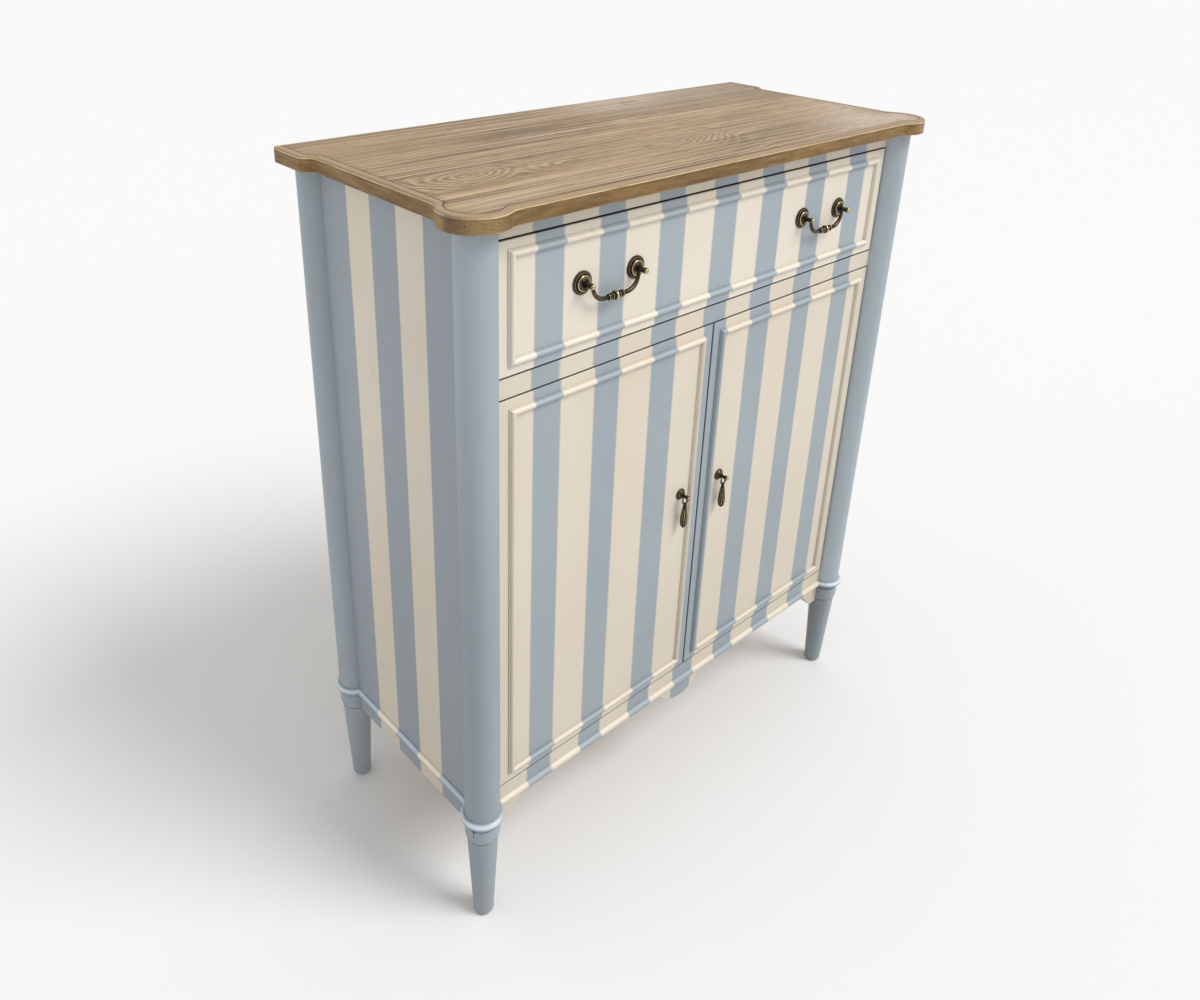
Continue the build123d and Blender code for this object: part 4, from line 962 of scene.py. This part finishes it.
def pendant_mesh(name, cx, body, node):
    """Wire stirrup and a fluted drop, made as one casting."""
    verts, faces, wear = [], [], []

    def tube(path, thin, w, segs=14, closed=False):
        base = len(verts)
        n = len(path)
        for i, (x, z) in enumerate(path):
            a, b = path[(i - 1) % n] if closed else path[max(0, i - 1)], path[(i + 1) % n] if closed else path[min(n - 1, i + 1)]
            tx, tz = b[0] - a[0], b[1] - a[1]
            L = math.hypot(tx, tz) or 1.0
            nx, nz = -tz / L, tx / L
            rad = thin + 0.27 * max(0.0, min(1.0, (-z - 1.0) / 4.0))
            for k in range(segs):
                t = 2 * math.pi * k / segs
                verts.append((cx + x + rad * math.cos(t) * nx, FY + DROP_Y + rad * math.sin(t), KNOB_Z + z + rad * math.cos(t) * nz))
                wear.append(w)
        m = n if closed else n - 1
        for i in range(m):
            for k in range(segs):
                a, b = base + i * segs + k, base + i * segs + (k + 1) % segs
                c, d = base + ((i + 1) % n) * segs + (k + 1) % segs, base + ((i + 1) % n) * segs + k
                faces.append((a, b, c, d))

    w, st = 4.2, 6.0
    loop = [(-w + 2 * w * i / 10.0, 0.0) for i in range(1, 10)]
    loop += [(w - 0.25 + 0.25 * math.sin(math.radians(a)), -0.25 + 0.25 * math.cos(math.radians(a))) for a in (0, 45, 90)]
    loop += [(w, -1.5), (w, -3.0), (w, -4.5)]
    loop += [(w * math.cos(math.radians(a)), -st - w * math.sin(math.radians(a))) for a in range(0, 181, 10)]
    loop += [(-w, -4.5), (-w, -3.0), (-w, -1.5)]
    loop += [(-w + 0.25 - 0.25 * math.cos(math.radians(a)), -0.25 + 0.25 * math.sin(math.radians(a))) for a in (0, 45, 90)]
    tube(loop, 0.78, 0.55, closed=True)
    # drop: radius by depth, fluted towards its middle
    key = [(-8.8, 0.5), (-8.95, 1.25), (-9.6, 1.95), (-10.3, 2.10), (-10.9, 1.90), (-11.6, 1.80), (-13.4, 2.10), (-17.0, 2.80),
           (-21.0, 3.45), (-25.0, 4.00), (-29.0, 4.45), (-33.0, 4.72), (-36.5, 4.66), (-39.5, 4.25), (-42.0, 3.38), (-43.8, 2.05), (-44.7, 0.9), (-44.9, 0.08)]
    prof = rail_path(key, 4)
    segs, base = 80, len(verts)
    n = len(prof)
    for z, r in prof:
        deep = max(0.0, min(1.0, (-z - 13.0) / 6.0)) * max(0.0, min(1.0, (44.0 + z) / 7.0))
        for k in range(segs):
            t = 2 * math.pi * k / segs
            c = abs(math.sin(5.0 * t + 0.035 * (-z - 12.0)))
            rr = r * (1.0 - 0.085 * deep * (1.0 - c) ** 1.6)
            verts.append((cx + rr * math.cos(t), FY + DROP_Y + rr * math.sin(t), KNOB_Z + z))
            wear.append(0.12 + 0.60 * c * deep + 0.30 * (1.0 - deep) - (0.25 if -12.4 < z < -10.7 else 0.0))
    for i in range(n - 1):
        for k in range(segs):
            a, b = base + i * segs + k, base + i * segs + (k + 1) % segs
            faces.append((a, b, b + segs, a + segs))
    faces.append(tuple(base + k for k in range(segs)))
    faces.append(tuple(base + (n - 1) * segs + k for k in range(segs))[::-1])
    verts = [(a / 1000.0, b / 1000.0, c / 1000.0) for a, b, c in verts]
    o = mesh_object(name, verts, faces, wear, M["brass"])
    recalc(o)
    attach(o, body)
    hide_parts(node)
    return o


master = None
i = 0
for cx in PULLS:
    for dx in (-PULL_HALF, PULL_HALF):
        i += 1
        v, f, w = lathe(rosette_profile(), 144, 36)
        o = mesh_object("pull_rosette_%d" % i, face_front(v, cx + dx, FY, PULL_Z), f, w, M["brass"])
        recalc(o)
        bored(o, ((cx + dx) / 1000.0, (FY + BAIL_Y) / 1000.0, PULL_Z / 1000.0), 0.00166, 0.008)
        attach(o, "drawer")
        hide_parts("pull_posts")
bail_mesh("bail_casting_left", PULLS[0], "bail_left", "bail_left")
bail_mesh("bail_casting_right", PULLS[1], "bail_right", "bail_right")

for s, sx in (("left", -1), ("right", 1)):
    v, f, w = lathe(knob_profile(), 96, 8)
    o = mesh_object("knob_casting_%s" % s, face_front(v, sx * KNOB_X, FY, KNOB_Z), f, w, M["brass"])
    recalc(o)
    bored(o, (sx * KNOB_X / 1000.0, (FY + DROP_Y) / 1000.0, KNOB_Z / 1000.0), 0.00086, 0.008)
    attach(o, "door_%s" % s)
    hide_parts("door_%s_knob" % s)
    pendant_mesh("pendant_casting_%s" % s, sx * KNOB_X, "pendant_%s" % s, "door_%s_pendant" % s)


# =============================================================== stage
def floor():
    me = bpy.data.meshes.new("floor")
    r, n = 60.0, 64
    vs = [(0.0, 0.0, 0.0)] + [(r * math.cos(2 * math.pi * k / n), r * math.sin(2 * math.pi * k / n), 0.0) for k in range(n)]
    me.from_pydata(vs, [], [(0, 1 + k, 1 + (k + 1) % n) for k in range(n)])
    o = bpy.data.objects.new("floor", me)
    scene.collection.objects.link(o)
    m = bpy.data.materials.new("floor_pale")
    m.use_nodes = True
    b = m.node_tree.nodes["Principled BSDF"]
    b.inputs["Base Color"].default_value = (0.80, 0.80, 0.80, 1.0)
    b.inputs["Roughness"].default_value = 0.9
    b.inputs["Specular IOR Level"].default_value = 0.1
    me.materials.append(m)
    return o


floor()
